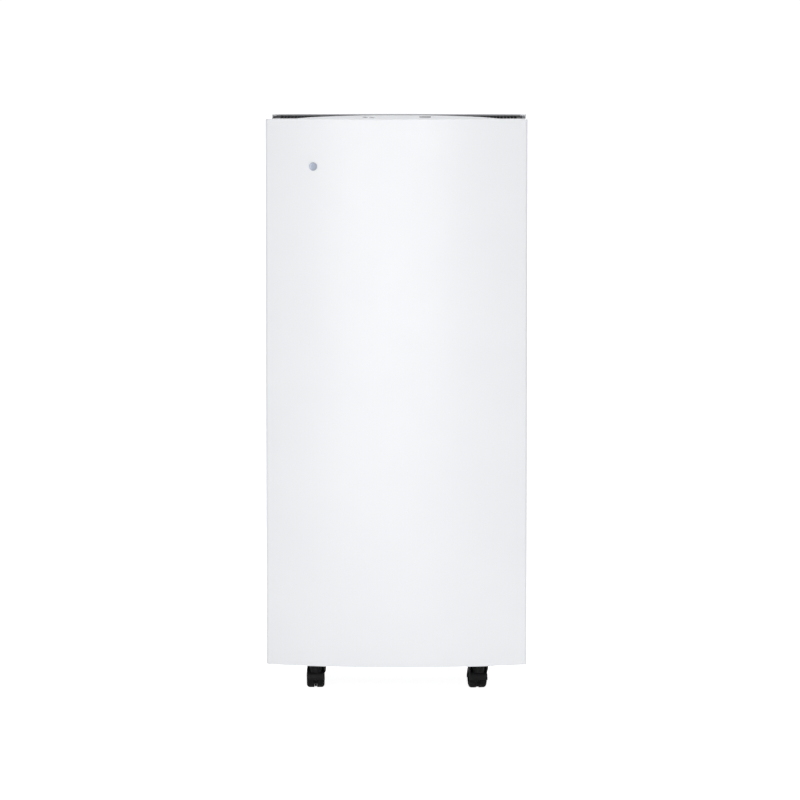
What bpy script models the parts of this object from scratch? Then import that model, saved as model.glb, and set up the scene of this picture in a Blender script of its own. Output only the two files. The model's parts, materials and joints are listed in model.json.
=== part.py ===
"""A tall room air purifier on four twin-wheel castors.

Metres, +Z up. The origin is on the floor under the middle of the cabinet, and the front faces -Y.
The rear half repeats the front half, turned half a turn about Z, so each door is hinged on the
left of the person who faces it.
"""

import math

import bmesh
import bpy
from mathutils import Matrix, Vector

# ---- overall sizes ---------------------------------------------------------------------------
WIDTH = 0.500
DEPTH = 0.420
HEIGHT = 1.105

# ---- clearances ------------------------------------------------------------------------------
SEAT_GAP = 0.0003  # between two pieces that rest on or in each other
PIN_CLEARANCE = 0.0003  # round a rod, an axle, a stem or a shaft
SWING_CLEARANCE = 0.0008  # between the cabinet and a door's edge as it swings past
WHEEL_CLEARANCE = 0.0012  # between a castor's wheels and its hood

# ---- doors -----------------------------------------------------------------------------------
DOOR_BOW = 0.045
DOOR_RETURN = 0.018
DOOR_WALL = 0.0025
DOOR_CORNER = 0.006
DOOR_BOTTOM = 0.055
DOOR_GAP = 0.003
DOOR_OVERHANG = 0.008
BOW_STEPS = 22
LINER_THICKNESS = 0.006
LINER_MARGIN = 0.045
CONSOLE_PROUD = 0.0025  # the console's crown above the doors' top edges

# ---- door hinges and catches -----------------------------------------------------------------
ROD_RADIUS = 0.002
ROD_SETTING = 0.004  # from the rod's axis to the inside of the door's side
KNUCKLE_WALL = 0.0012
ARM_THICKNESS = 0.002
ARM_REACH = 0.0175
FOOT_LENGTH = 0.010
BRACKET_HEIGHT = 0.030
BRACKET_INSET = 0.105  # from a door's top or bottom edge to the middle of its bracket
LUG_HEIGHT = 0.010
LUG_SIZE = 0.0125
MAGNET_SIZE = (0.018, 0.0055, 0.045)
MAGNET_INSET = 0.006

# ---- badge -----------------------------------------------------------------------------------
BADGE_RADIUS = 0.0078
BADGE_THICKNESS = 0.0012
BADGE_ACROSS = 0.158  # from the middle of the door to the badge
BADGE_DROP = 0.090

# ---- cabinet ---------------------------------------------------------------------------------
BASE_UNDERSIDE = 0.058
BASE_HEIGHT = 0.032
BASE_WALL = 0.0022
PANEL_WALL = 0.0015
PANEL_FLANGE = 0.012
INTAKE_WIDTH = 0.025
INTAKE_WALL = 0.0025
INTAKE_JAMB = 0.027
INTAKE_SLOTS = 16
INTAKE_BAR = 0.008  # between two slots, one above the other
TOP_TRAY_HEIGHT = 0.0405
TOP_TRAY_WALL = 0.0025
TOP_TRAY_DROP = 0.002  # the tray's rim below the doors' top edges
LEDGE_WIDTH = 0.008
LEDGE_THICKNESS = 0.0055

# ---- outlet grille and control console -------------------------------------------------------
GRILLE_THICKNESS = 0.0025
GRILLE_DROP = 0.004  # the grille's top below the doors' top edges
GRILLE_PITCH = 0.018
GRILLE_SLOT = 0.012
GRILLE_BORDER = 0.008
CONSOLE_HALF_WIDTH = 0.200
CONSOLE_DEPTH = 0.225
CONSOLE_ROUNDNESS = 2.4
CONSOLE_EDGE = 0.0012
CONSOLE_SIDES = 44
CROWN_FALL = 0.55  # how much of the crown is lost from its crest to the edge
CREST_SETBACK = 0.40  # the crest's place, as a share of the console's depth
# Each ring of the console's crowned face: its size as a share of the outline, and its rise as a
# share of the crown.
CONSOLE_RINGS = ((1.0, 0.0), (0.985, 0.5), (0.86, 0.72), (0.62, 0.88), (0.30, 0.98))
CONTROL_ACROSS = 0.054
CONTROL_SETBACK = 0.036  # from the console's front edge
RING_RADIUS = 0.0125
RING_LIP = 0.001
BUTTON_RADIUS = 0.0085
BUTTON_FLANGE = 0.0013
BUTTON_TRAVEL = 0.0015
BUTTON_STEM_RADIUS = 0.003
WINDOW_LENGTH = 0.022
WINDOW_WIDTH = 0.005
BOARD_SIZE = (0.170, 0.050, 0.0016)
BOARD_DROP = 0.0064  # from the grille plate's underside to the board's top
SWITCH_HEIGHT = 0.0025
POST_RADIUS = 0.003

# ---- filters and fan -------------------------------------------------------------------------
FILTER_DEPTH = 0.035
FILTER_HALF_WIDTH = 0.212
FILTER_BORDER = 0.015
FILTER_GAP = 0.0015
PLEATS = 20
PLEAT_THICKNESS = 0.0008
PARTITION_Y = 0.069
PARTITION_WALL = 0.0015
FAN_HEIGHT = 0.420
IMPELLER_RADIUS = 0.150
IMPELLER_HALF_WIDTH = 0.050
BLADE_COUNT = 18
BLADE_CHORD = 0.030
BLADE_THICKNESS = 0.0018
BLADE_SWEEP = 0.16  # radians from a blade's root to its tip
BLADE_SECTIONS = 2
END_RING_THICKNESS = 0.004
END_RING_DEPTH = 0.0165
DISC_THICKNESS = 0.003
HUB_RADIUS = 0.018
INLET_RADIUS = 0.128
INLET_LIP = 0.014
INLET_WALL = 0.0015
INLET_LENGTH = 0.0125
INLET_NARROWING = 0.0125
SHAFT_RADIUS = 0.005
MOTOR_RADIUS = 0.048
MOTOR_LENGTH = 0.056
MOTOR_BORE_STOP = 0.0085  # from the motor's mounting face to the blind end of its bore
MOTOR_SHOULDER = 0.0095
MOTOR_CHAMFER = 0.0048
SPIDER_THICKNESS = 0.007
SPIDER_HUB = 0.030
SPIDER_ARM = 0.012
SCROLL_CLEARANCE = 0.010
SCROLL_WALL = 0.0015
SCROLL_GAP = 0.0025  # between the wrapper and a side panel
SCROLL_TOP = 0.985
TONGUE_ANGLE = 58.0
TONGUE_RADIUS = 0.006

# ---- electrical pieces -----------------------------------------------------------------------
SUPPLY_SIZE = (0.160, 0.090, 0.070)
SUPPLY_X = -0.050
SUPPLY_GROOVES = 6
GROOVE_SIZE = (0.006, 0.060, 0.004)
GROOVE_PITCH = 0.020
SENSOR_SIZE = (0.018, 0.044, 0.050)
SENSOR_HEIGHT = 0.175
SENSOR_PORT = (0.030, 0.004)
INLET_SOCKET = (0.0246, 0.0166)
INLET_SOCKET_DEPTH = 0.015
INLET_BODY_WALL = 0.0013
INLET_BODY_DEPTH = 0.020
INLET_FLANGE = 0.002
INLET_FLANGE_PROUD = 0.0018
PRONG_SIZE = (0.009, 0.002, 0.004)
PRONG_SPACING = 0.007
PRONG_RISE = 0.0025  # the middle prong above the socket's middle, and the others below it

# ---- castors ---------------------------------------------------------------------------------
FRONT_CASTOR_X = 0.157
REAR_CASTOR_X = 0.160
CASTOR_Y = 0.100
CASTOR_TRAIL = 0.016
WHEEL_RADIUS = 0.021
WHEEL_WIDTH = 0.0145
WHEEL_SIDES = 16
HOOD_WEB = 0.004
WEB_REACH = 0.0192  # how far below the axle the hood's middle web comes
TREAD_ROUNDING = 0.006  # the outer edge of a wheel's tread
INNER_ROUNDING = 0.001  # the edge beside the web
HUB_DEPTH = 0.0035
HUB_DISH_RADII = (0.0126, 0.0143)  # a wheel's hollow face, at its floor and at its rim
HOOD_WALL = 0.002
SWIVEL_RADIUS = 0.012
STEM_RADIUS = 0.0055
STEM_LENGTH = 0.024
SOCKET_WALL = 0.004
AXLE_RADIUS = 0.003
HOOD_TO_BASE = 0.0022
CASTOR_HEADINGS = {"front_left": 3.0, "front_right": 8.0, "rear_left": 4.0, "rear_right": 8.0}

PIN_SIDES = 12  # sides of a thin pin or its bore
ROUND = 20  # sides of a small round piece
WIDE_ROUND = 28  # sides of a large one

# ---- sizes that follow -----------------------------------------------------------------------
HALF_WIDTH = WIDTH / 2
DOOR_TOP = HEIGHT - CONSOLE_PROUD
DOOR_EDGE = DEPTH / 2 - DOOR_BOW
DOOR_BACK = DOOR_EDGE - DOOR_RETURN
BOW_RADIUS = (HALF_WIDTH**2 + DOOR_BOW**2) / (2 * DOOR_BOW)
BOW_CENTRE = BOW_RADIUS - DEPTH / 2
CABINET_FACE = DOOR_BACK - DOOR_GAP
CABINET_SIDE = HALF_WIDTH - DOOR_OVERHANG
ROD_X = HALF_WIDTH - DOOR_WALL - ROD_SETTING
EDGE_TO_ROD = DOOR_WALL + ROD_SETTING
ROD_SETBACK = (DOOR_GAP**2 + EDGE_TO_ROD**2 - SWING_CLEARANCE**2) / (2 * (DOOR_GAP - SWING_CLEARANCE))
ROD_Y = CABINET_FACE + ROD_SETBACK
BASE_TOP = BASE_UNDERSIDE + BASE_HEIGHT
TRAY_TOP = DOOR_TOP - TOP_TRAY_DROP
TRAY_BOTTOM = TRAY_TOP - TOP_TRAY_HEIGHT
GRILLE_TOP = DOOR_TOP - GRILLE_DROP
GRILLE_BOTTOM = GRILLE_TOP - GRILLE_THICKNESS
SIDE_BOTTOM = BASE_TOP + SEAT_GAP
SIDE_TOP = TRAY_BOTTOM - SEAT_GAP
INTAKE_BACK = CABINET_FACE - INTAKE_WIDTH
FILTER_FRONT = INTAKE_BACK - FILTER_GAP
FILTER_BACK = FILTER_FRONT - FILTER_DEPTH
CONSOLE_FRONT = CABINET_FACE - TOP_TRAY_WALL - 2 * SEAT_GAP
CONSOLE_BOTTOM = GRILLE_TOP + SEAT_GAP
CONTROL_Y = CONSOLE_FRONT - CONTROL_SETBACK
SHELF_DEPTH = FILTER_FRONT - PARTITION_Y
BRACKET_HEIGHTS = (DOOR_BOTTOM + BRACKET_INSET, DOOR_TOP - BRACKET_INSET)
MIDDLE = (SIDE_BOTTOM + SIDE_TOP) / 2
WHEEL_CENTRE = WHEEL_RADIUS * math.cos(math.pi / WHEEL_SIDES)
SCROLL_START = IMPELLER_RADIUS + SCROLL_CLEARANCE
SCROLL_END = CABINET_SIDE - PANEL_WALL - 2 * SCROLL_WALL - SCROLL_GAP

LAYOUT = {
    "front": (0.0, "front_left", "front_right"),
    "rear": (math.pi, "rear_right", "rear_left"),
}

PAINTS = {
    "white_lacquer": ((0.86, 0.87, 0.88), 0.32, 0.0),
    "dark_plastic": ((0.020, 0.021, 0.024), 0.55, 0.0),
    "console_plastic": ((0.74, 0.75, 0.77), 0.38, 0.0),
    "zinc_sheet": ((0.58, 0.60, 0.62), 0.42, 1.0),
    "steel": ((0.55, 0.56, 0.58), 0.30, 1.0),
    "filter_card": ((0.80, 0.80, 0.76), 0.90, 0.0),
    "filter_paper": ((0.88, 0.88, 0.86), 0.95, 0.0),
    "felt": ((0.10, 0.10, 0.11), 0.95, 0.0),
    "fan_plastic": ((0.06, 0.06, 0.07), 0.45, 0.0),
    "board_green": ((0.02, 0.16, 0.07), 0.45, 0.0),
    "badge_metal": ((0.42, 0.46, 0.55), 0.30, 0.8),
    "castor_plastic": ((0.015, 0.015, 0.017), 0.50, 0.0),
    "smoked_window": ((0.02, 0.02, 0.025), 0.15, 0.0),
}


def paint(name):
    """The Principled material of this name, made when it is first asked for."""
    if name in bpy.data.materials:
        return bpy.data.materials[name]
    colour, roughness, metallic = PAINTS[name]
    material = bpy.data.materials.new(name)
    material.use_nodes = True
    shader = material.node_tree.nodes["Principled BSDF"]
    shader.inputs["Base Color"].default_value = (*colour, 1.0)
    shader.inputs["Roughness"].default_value = roughness
    shader.inputs["Metallic"].default_value = metallic
    material.diffuse_color = (*colour, 1.0)
    return material


def clear_scene():
    """Empties the scene and makes the collections for the pieces and the cutters."""
    for obj in list(bpy.data.objects):
        bpy.data.objects.remove(obj, do_unlink=True)
    for name in ("air_purifier", "cutters"):
        bpy.context.scene.collection.children.link(bpy.data.collections.new(name))


def place(name, mesh, material, parent=None):
    """An object in the pieces' collection, or with no material, a helper in the cutters' one."""
    obj = bpy.data.objects.new(name, mesh)
    if material is None:
        bpy.data.collections["cutters"].objects.link(obj)
        obj.hide_render = True
        obj.display_type = "WIRE"
    else:
        bpy.data.collections["air_purifier"].objects.link(obj)
        mesh.materials.append(paint(material))
    obj.parent = parent
    return obj


def empty(name, location=(0, 0, 0), turn=0.0, parent=None):
    """A marker that pieces are placed by: an assembly's frame or a joint's axis."""
    obj = bpy.data.objects.new(name, None)
    bpy.data.collections["air_purifier"].objects.link(obj)
    obj.location = location
    obj.rotation_euler = (0, 0, turn)
    obj.parent = parent
    return obj


def finish_mesh(bm, name):
    """A mesh with its faces turned out, made from the bmesh, which is freed."""
    bmesh.ops.recalc_face_normals(bm, faces=bm.faces)
    mesh = bpy.data.meshes.new(name)
    bm.to_mesh(mesh)
    bm.free()
    return mesh


def smooth(mesh, angle=35.0):
    """Shades a round piece smooth, with its edges kept sharp."""
    mesh.shade_smooth()
    mesh.set_sharp_from_angle(angle=math.radians(angle))


def boxes(name, corners, material=None, parent=None):
    """One object holding a box for each (low, high) pair of corners."""
    bm = bmesh.new()
    for low, high in corners:
        low, high = Vector(low), Vector(high)
        size = Matrix.Diagonal((*(high - low), 1.0))
        bmesh.ops.create_cube(bm, size=1.0, matrix=Matrix.Translation((low + high) / 2) @ size)
    return place(name, finish_mesh(bm, name), material, parent)


def box(name, low, high, material=None, parent=None):
    """A plain box between two corners."""
    return boxes(name, [(low, high)], material, parent)


AXIS_TURNS = {
    "X": Matrix.Rotation(math.pi / 2, 4, "Y"),
    "Y": Matrix.Rotation(-math.pi / 2, 4, "X"),
    "Z": Matrix.Identity(4),
}


def cylinder(name, centre, axis, radius, ends, material=None, parent=None, sides=ROUND):
    """A cylinder about a line through centre along axis, between two distances from centre."""
    turn = AXIS_TURNS[axis]
    middle = Matrix.Translation((0, 0, sum(ends) / 2))
    bm = bmesh.new()
    bmesh.ops.create_cone(
        bm, cap_ends=True, segments=sides, radius1=radius, radius2=radius,
        depth=ends[1] - ends[0], matrix=Matrix.Translation(centre) @ turn @ middle,
    )
    mesh = finish_mesh(bm, name)
    smooth(mesh)
    return place(name, mesh, material, parent)


def outline(name, points, ends, material=None, parent=None, plane="XY"):
    """A flat outline given a thickness between two heights across its plane.

    The plane is XY with the thickness along Z, XZ with it along Y, or YZ with it along X.
    """
    curve = bpy.data.curves.new(name, "CURVE")
    curve.dimensions = "2D"
    curve.fill_mode = "BOTH"
    curve.extrude = (ends[1] - ends[0]) / 2
    spline = curve.splines.new("POLY")
    spline.points.add(len(points) - 1)
    for point, (across, along) in zip(spline.points, points):
        point.co = (across, along, 0, 1)
    spline.use_cyclic_u = True
    drawn = bpy.data.objects.new(name + "_outline", curve)
    bpy.context.scene.collection.objects.link(drawn)
    graph = bpy.context.evaluated_depsgraph_get()
    mesh = bpy.data.meshes.new_from_object(drawn.evaluated_get(graph))
    bpy.data.objects.remove(drawn)
    bpy.data.curves.remove(curve)
    columns = {
        "XY": ((1, 0, 0), (0, 1, 0), (0, 0, 1)),
        "XZ": ((1, 0, 0), (0, 0, 1), (0, 1, 0)),
        "YZ": ((0, 1, 0), (0, 0, 1), (1, 0, 0)),
    }[plane]
    bm = bmesh.new()
    bm.from_mesh(mesh)
    bpy.data.meshes.remove(mesh)
    bmesh.ops.remove_doubles(bm, verts=bm.verts, dist=1e-6)
    lifted = Matrix.Translation((0, 0, (ends[0] + ends[1]) / 2))
    bmesh.ops.transform(bm, matrix=Matrix(columns).transposed().to_4x4() @ lifted, verts=bm.verts)
    return place(name, finish_mesh(bm, name), material, parent)


def turned(name, profile, centre, axis, material=None, parent=None, sides=ROUND, solid=False, phase=0.0):
    """A profile of (radius, height) points spun about an axis through centre.

    The profile runs from its top, out and down its outer side. A solid starts and ends on the axis,
    and a ring's profile is closed.
    """
    mesh = bpy.data.meshes.new(name)
    bm = bmesh.new()
    verts = [bm.verts.new((radius, 0, height)) for radius, height in profile]
    for first, second in zip(verts, verts[1:]):
        bm.edges.new((first, second))
    if not solid:
        bm.edges.new((verts[-1], verts[0]))
    bm.to_mesh(mesh)
    bm.free()
    obj = place(name, mesh, material, parent)
    obj.matrix_basis = Matrix.Translation(centre) @ AXIS_TURNS[axis] @ Matrix.Rotation(phase, 4, "Z")
    screw = obj.modifiers.new("Turn", "SCREW")
    screw.steps = screw.render_steps = sides
    screw.use_merge_vertices = True
    screw.merge_threshold = 1e-5
    screw.use_smooth_shade = True
    return obj


def combine(target, helper, operation):
    """Adds a Boolean of this operation with the helper, which never shows."""
    modifier = target.modifiers.new(operation.title(), "BOOLEAN")
    modifier.operation = operation
    modifier.solver = "EXACT"
    modifier.object = helper
    return target


def cut(target, *cutters):
    """Takes each cutter's shape out of the target."""
    for cutter in cutters:
        combine(target, cutter, "DIFFERENCE")
    return target


def join(target, *helpers):
    """Makes the target and the helpers one body."""
    for helper in helpers:
        combine(target, helper, "UNION")
    return target


def arc(centre, radius, start, end, steps):
    """Points from one angle to another, in degrees, round a circle."""
    angles = [math.radians(start + (end - start) * step / steps) for step in range(steps + 1)]
    return [(centre[0] + radius * math.cos(a), centre[1] + radius * math.sin(a)) for a in angles]


def bow_y(x, inset=0.0):
    """How far forward the door's bowed face is at x, or a face that is inset from it."""
    return BOW_CENTRE - math.sqrt((BOW_RADIUS - inset) ** 2 - x**2)


def bowed_plan(inset, back, corner):
    """The plan of the door, or of its hollow, from its straight back round its bowed face."""
    half = HALF_WIDTH - inset
    flank = half - corner
    side_start = bow_y(half, inset) + corner
    blend = []
    for step in (1, 2):
        t = step / 3
        across = half * (1 - t) ** 2 + half * 2 * t * (1 - t) + flank * t**2
        forward = side_start * (1 - t) ** 2
        forward += bow_y(half, inset) * 2 * t * (1 - t) + bow_y(flank, inset) * t**2
        blend.append((across, forward))
    face = []
    for step in range(BOW_STEPS + 1):
        across = flank - 2 * flank * step / BOW_STEPS
        face.append((across, bow_y(across, inset)))
    left_blend = [(-across, forward) for across, forward in reversed(blend)]
    right = [(half, back), (half, side_start), *blend]
    return right + face + left_blend + [(-half, side_start), (-half, back)]


def build_door(side, half):
    """The bowed door: its skin with hinge lugs and catch boss, its liner, rod and badge."""
    hinge = empty(f"{side}_door_hinge", (-ROD_X, -ROD_Y, 0), parent=half)
    to_hinge = Matrix.Translation((ROD_X, ROD_Y, 0))
    skin = outline(f"{side}_door", bowed_plan(0, -DOOR_BACK, DOOR_CORNER), (DOOR_BOTTOM, DOOR_TOP),
                   "white_lacquer", hinge)
    hollow_back = -DOOR_BACK + DOOR_RETURN
    hollow = outline(f"{side}_door_hollow", bowed_plan(DOOR_WALL, hollow_back, DOOR_CORNER),
                     (DOOR_BOTTOM + DOOR_WALL, DOOR_TOP - DOOR_WALL), None, hinge)
    lugs = []
    lug_right = -ROD_X + LUG_SIZE / 2
    for height in BRACKET_HEIGHTS:
        for way in (-1, 1):
            near = height + way * (BRACKET_HEIGHT / 2 + 2 * SEAT_GAP)
            far = near + way * LUG_HEIGHT
            lugs.append(((-HALF_WIDTH + DOOR_WALL / 2, -ROD_Y - LUG_SIZE / 2, min(near, far)),
                         (lug_right, -ROD_Y + LUG_SIZE / 2, max(near, far))))
    lugs = boxes(f"{side}_door_lugs", lugs, None, hinge)
    catch_x = CABINET_SIDE - MAGNET_INSET - MAGNET_SIZE[0]
    catch_y = CABINET_FACE + SEAT_GAP + MAGNET_SIZE[1] + SEAT_GAP
    boss = box(f"{side}_door_catch_boss", (catch_x, -DOOR_EDGE, MIDDLE - MAGNET_SIZE[2] / 3),
               (HALF_WIDTH - DOOR_WALL / 2, -catch_y, MIDDLE + MAGNET_SIZE[2] / 3), None, hinge)
    bore = cylinder(f"{side}_door_rod_bore", (-ROD_X, -ROD_Y, 0), "Z", ROD_RADIUS + PIN_CLEARANCE,
                    (BRACKET_HEIGHTS[0] - BRACKET_HEIGHT, BRACKET_HEIGHTS[1] + BRACKET_HEIGHT),
                    None, hinge, PIN_SIDES)
    cut(join(cut(skin, hollow), lugs, boss), bore)

    reach = HALF_WIDTH - LINER_MARGIN
    faces = []
    for inset in (DOOR_WALL + SEAT_GAP, DOOR_WALL + SEAT_GAP + LINER_THICKNESS):
        places = [-reach + 2 * reach * step / BOW_STEPS for step in range(BOW_STEPS + 1)]
        faces.append([(across, bow_y(across, inset)) for across in places])
    liner = outline(f"{side}_door_liner", faces[0] + faces[1][::-1],
                    (DOOR_BOTTOM + DOOR_WALL + SEAT_GAP, DOOR_TOP - DOOR_WALL - SEAT_GAP), "felt", hinge)

    rod_overrun = BRACKET_HEIGHT / 2 + LUG_HEIGHT
    rod = cylinder(f"{side}_hinge_rod", (-ROD_X, -ROD_Y, 0), "Z", ROD_RADIUS,
                   (BRACKET_HEIGHTS[0] - rod_overrun, BRACKET_HEIGHTS[1] + rod_overrun), "steel", hinge,
                   PIN_SIDES)
    pieces = [skin, hollow, lugs, boss, bore, liner, rod]
    for piece in pieces:
        piece.data.transform(to_hinge)
    return hinge


def build_badge(hinge):
    """The small round badge near the front door's upper left corner, square to the bowed face."""
    turn = math.asin(BADGE_ACROSS / BOW_RADIUS)
    badge = cylinder("front_badge", (0, 0, 0), "Y", BADGE_RADIUS, (-BADGE_THICKNESS, 0), "badge_metal",
                     hinge)
    stand_off = BOW_RADIUS + SEAT_GAP
    badge.location = (
        ROD_X - stand_off * math.sin(turn),
        ROD_Y + BOW_CENTRE - stand_off * math.cos(turn),
        DOOR_TOP - BADGE_DROP,
    )
    badge.rotation_euler = (0, 0, -turn)


def build_hinge_brackets(side, half):
    """The two goose-neck brackets that carry the rod in front of the cabinet's jamb."""
    knuckle = ROD_RADIUS + PIN_CLEARANCE + KNUCKLE_WALL
    arm = ARM_THICKNESS / 2
    arm_angle = math.degrees(math.asin(arm / knuckle))
    foot = ROD_SETBACK - SEAT_GAP
    plan = arc((0, 0), knuckle, arm_angle, 360 - arm_angle, 12) + [
        (ARM_REACH, -arm),
        (ARM_REACH, foot - ARM_THICKNESS),
        (ARM_REACH + FOOT_LENGTH, foot - ARM_THICKNESS),
        (ARM_REACH + FOOT_LENGTH, foot),
        (ARM_REACH - ARM_THICKNESS, foot),
        (ARM_REACH - ARM_THICKNESS, arm),
    ]
    plan = [(across - ROD_X, along - ROD_Y) for across, along in plan]
    for level, height in zip(("lower", "upper"), BRACKET_HEIGHTS):
        ends = (height - BRACKET_HEIGHT / 2, height + BRACKET_HEIGHT / 2)
        name = f"{side}_{level}_hinge_bracket"
        bracket = outline(name, plan, ends, "steel", half)
        bore = cylinder(f"{name}_bore", (-ROD_X, -ROD_Y, height), "Z", ROD_RADIUS + PIN_CLEARANCE,
                        (-BRACKET_HEIGHT, BRACKET_HEIGHT), None, half, PIN_SIDES)
        cut(bracket, bore)


def build_catch(side, half):
    """The magnet on the jamb that holds the door shut."""
    back = CABINET_FACE + SEAT_GAP
    right = CABINET_SIDE - MAGNET_INSET
    width, depth, height = MAGNET_SIZE
    box(f"{side}_catch_magnet", (right - width, -back - depth, MIDDLE - height / 2),
        (right, -back, MIDDLE + height / 2), "dark_plastic", half)


def build_intake_grille(name, way, half):
    """One slotted corner strip between a door and a side panel; way is -1 for left, 1 for right."""
    plan = [
        (CABINET_SIDE - INTAKE_JAMB, -CABINET_FACE),
        (CABINET_SIDE, -CABINET_FACE),
        (CABINET_SIDE, -INTAKE_BACK - SEAT_GAP),
        (CABINET_SIDE - INTAKE_WALL, -INTAKE_BACK - SEAT_GAP),
        (CABINET_SIDE - INTAKE_WALL, -CABINET_FACE + INTAKE_WALL),
        (CABINET_SIDE - INTAKE_JAMB, -CABINET_FACE + INTAKE_WALL),
    ]
    plan = [(way * across, along) for across, along in plan]
    strip = outline(name, plan, (SIDE_BOTTOM, SIDE_TOP), "dark_plastic", half)
    pitch = (SIDE_TOP - SIDE_BOTTOM - INTAKE_BAR) / INTAKE_SLOTS
    front = -CABINET_FACE + INTAKE_WALL + INTAKE_BAR / 4
    back = -INTAKE_BACK - INTAKE_BAR / 2
    left, right = sorted((way * (CABINET_SIDE - 2 * INTAKE_WALL), way * (CABINET_SIDE + INTAKE_WALL)))
    slots = []
    for number in range(INTAKE_SLOTS):
        low = SIDE_BOTTOM + INTAKE_BAR + number * pitch
        slots.append(((left, front, low), (right, back, low + pitch - INTAKE_BAR)))
    cut(strip, boxes(f"{name}_slots", slots, None, half))


def build_filters(side, half):
    """The lower and upper filter behind the door: a card frame round a pleated pack."""
    shelf = PARTITION_WALL + FILTER_GAP
    spans = {
        "lower": (SIDE_BOTTOM + shelf, MIDDLE - shelf / 2),
        "upper": (MIDDLE + shelf / 2, SIDE_TOP - shelf),
    }
    inner = FILTER_HALF_WIDTH - FILTER_BORDER
    for level, (bottom, top) in spans.items():
        name = f"{side}_{level}_filter"
        frame = box(f"{name}_frame", (-FILTER_HALF_WIDTH, -FILTER_FRONT, bottom),
                    (FILTER_HALF_WIDTH, -FILTER_BACK, top), "filter_card", half)
        window = box(f"{name}_frame_window", (-inner, -FILTER_FRONT - FILTER_BORDER, bottom + FILTER_BORDER),
                     (inner, -FILTER_BACK + FILTER_BORDER, top - FILTER_BORDER), None, half)
        cut(frame, window)
        fold = FILTER_BORDER / 4
        reach = inner - SEAT_GAP
        folds = []
        for number in range(2 * PLEATS + 1):
            across = -reach + 2 * reach * number / (2 * PLEATS)
            along = -FILTER_FRONT + fold if number % 2 else -FILTER_BACK - fold - PLEAT_THICKNESS
            folds.append((across, along))
        front = [(across, along + PLEAT_THICKNESS) for across, along in reversed(folds)]
        outline(f"{name}_pleats", folds + front,
                (bottom + FILTER_BORDER + SEAT_GAP, top - FILTER_BORDER - SEAT_GAP), "filter_paper", half)


def build_partition(side, half):
    """The sheet between the filters and the fan, with its shelves and its round fan inlet."""
    edge = CABINET_SIDE - PANEL_WALL - SEAT_GAP
    shelf_edge = edge - PANEL_FLANGE
    plate = box(f"{side}_partition", (-edge, -PARTITION_Y, SIDE_BOTTOM),
                (edge, -PARTITION_Y + PARTITION_WALL, SIDE_TOP), "zinc_sheet", half)
    shelves = []
    for low in (SIDE_BOTTOM, MIDDLE - PARTITION_WALL / 2, SIDE_TOP - PARTITION_WALL):
        shelves.append(((-shelf_edge, -PARTITION_Y - SHELF_DEPTH, low),
                        (shelf_edge, -PARTITION_Y + PARTITION_WALL / 2, low + PARTITION_WALL)))
    hole_radius = INLET_RADIUS / math.cos(math.pi / WIDE_ROUND)
    hole = cylinder(f"{side}_partition_inlet", (0, -PARTITION_Y, FAN_HEIGHT), "Y", hole_radius,
                    (-INLET_RADIUS / 8, INLET_RADIUS / 8), None, half, WIDE_ROUND)
    cut(join(plate, boxes(f"{side}_partition_shelves", shelves, None, half)), hole)


def build_inlet_ring(side, half):
    """The bell-mouth ring in the partition's hole; its heights run from the sheet into the fan."""
    throat = INLET_RADIUS - PIN_CLEARANCE
    outer = [(INLET_RADIUS + INLET_LIP, -SEAT_GAP - INLET_WALL), (INLET_RADIUS + INLET_LIP, -SEAT_GAP)]
    bell = []
    for step in range(4):
        angle = math.pi / 2 * step / 3
        bell.append((throat - INLET_NARROWING * math.sin(angle), INLET_LENGTH * (1 - math.cos(angle))))
    outside = [(throat, -SEAT_GAP), *bell[1:]]
    inside = [(radius - INLET_WALL, height - INLET_WALL) for radius, height in bell[1:]]
    inside = [(throat - INLET_WALL, -SEAT_GAP - INLET_WALL), *inside[:-1]]
    tip = (bell[-1][0] - INLET_WALL, INLET_LENGTH)
    profile = outer + outside + [tip] + inside[::-1]
    turned(f"{side}_inlet_ring", profile[::-1], (0, -PARTITION_Y, FAN_HEIGHT), "Y", "fan_plastic", half,
           WIDE_ROUND)


def build_half(side):
    """Everything that the cabinet has once at the front and once at the rear."""
    turn, left_name, right_name = LAYOUT[side]
    half = empty(f"{side}_half", turn=turn)
    hinge = build_door(side, half)
    if side == "front":
        build_badge(hinge)
    build_hinge_brackets(side, half)
    build_catch(side, half)
    build_intake_grille(f"{left_name}_intake_grille", -1, half)
    build_intake_grille(f"{right_name}_intake_grille", 1, half)
    build_filters(side, half)
    build_partition(side, half)
    build_inlet_ring(side, half)


def build_base():
    """The base tray, with a boss for each castor's stem and an opening for the mains inlet."""
    side = CABINET_SIDE
    face = CABINET_FACE
    tray = box("base_tray", (-side, -face, BASE_UNDERSIDE), (side, face, BASE_TOP), "dark_plastic")
    inside = box("base_tray_inside", (-side + BASE_WALL, -face + BASE_WALL, BASE_UNDERSIDE + BASE_WALL),
                 (side - BASE_WALL, face - BASE_WALL, BASE_TOP + BASE_WALL))
    cut(tray, inside)
    bore = STEM_RADIUS + PIN_CLEARANCE
    for name, x, y in castor_places():
        boss = cylinder(f"base_boss_{name}", (x, y, BASE_UNDERSIDE), "Z", bore + SOCKET_WALL,
                        (BASE_WALL / 2, STEM_LENGTH + SOCKET_WALL))
        socket = cylinder(f"base_socket_{name}", (x, y, BASE_UNDERSIDE), "Z", bore,
                          (-STEM_LENGTH / 4, STEM_LENGTH + PIN_CLEARANCE))
        join(tray, boss)
        cut(tray, socket)
    width, height = inlet_body_size()
    middle = BASE_UNDERSIDE + BASE_HEIGHT / 2
    across, up = width / 2 + SEAT_GAP, height / 2 + SEAT_GAP
    opening = box("base_inlet_opening", (side - 2 * BASE_WALL, -across, middle - up),
                  (side + BASE_WALL, across, middle + up))
    cut(tray, opening)


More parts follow.
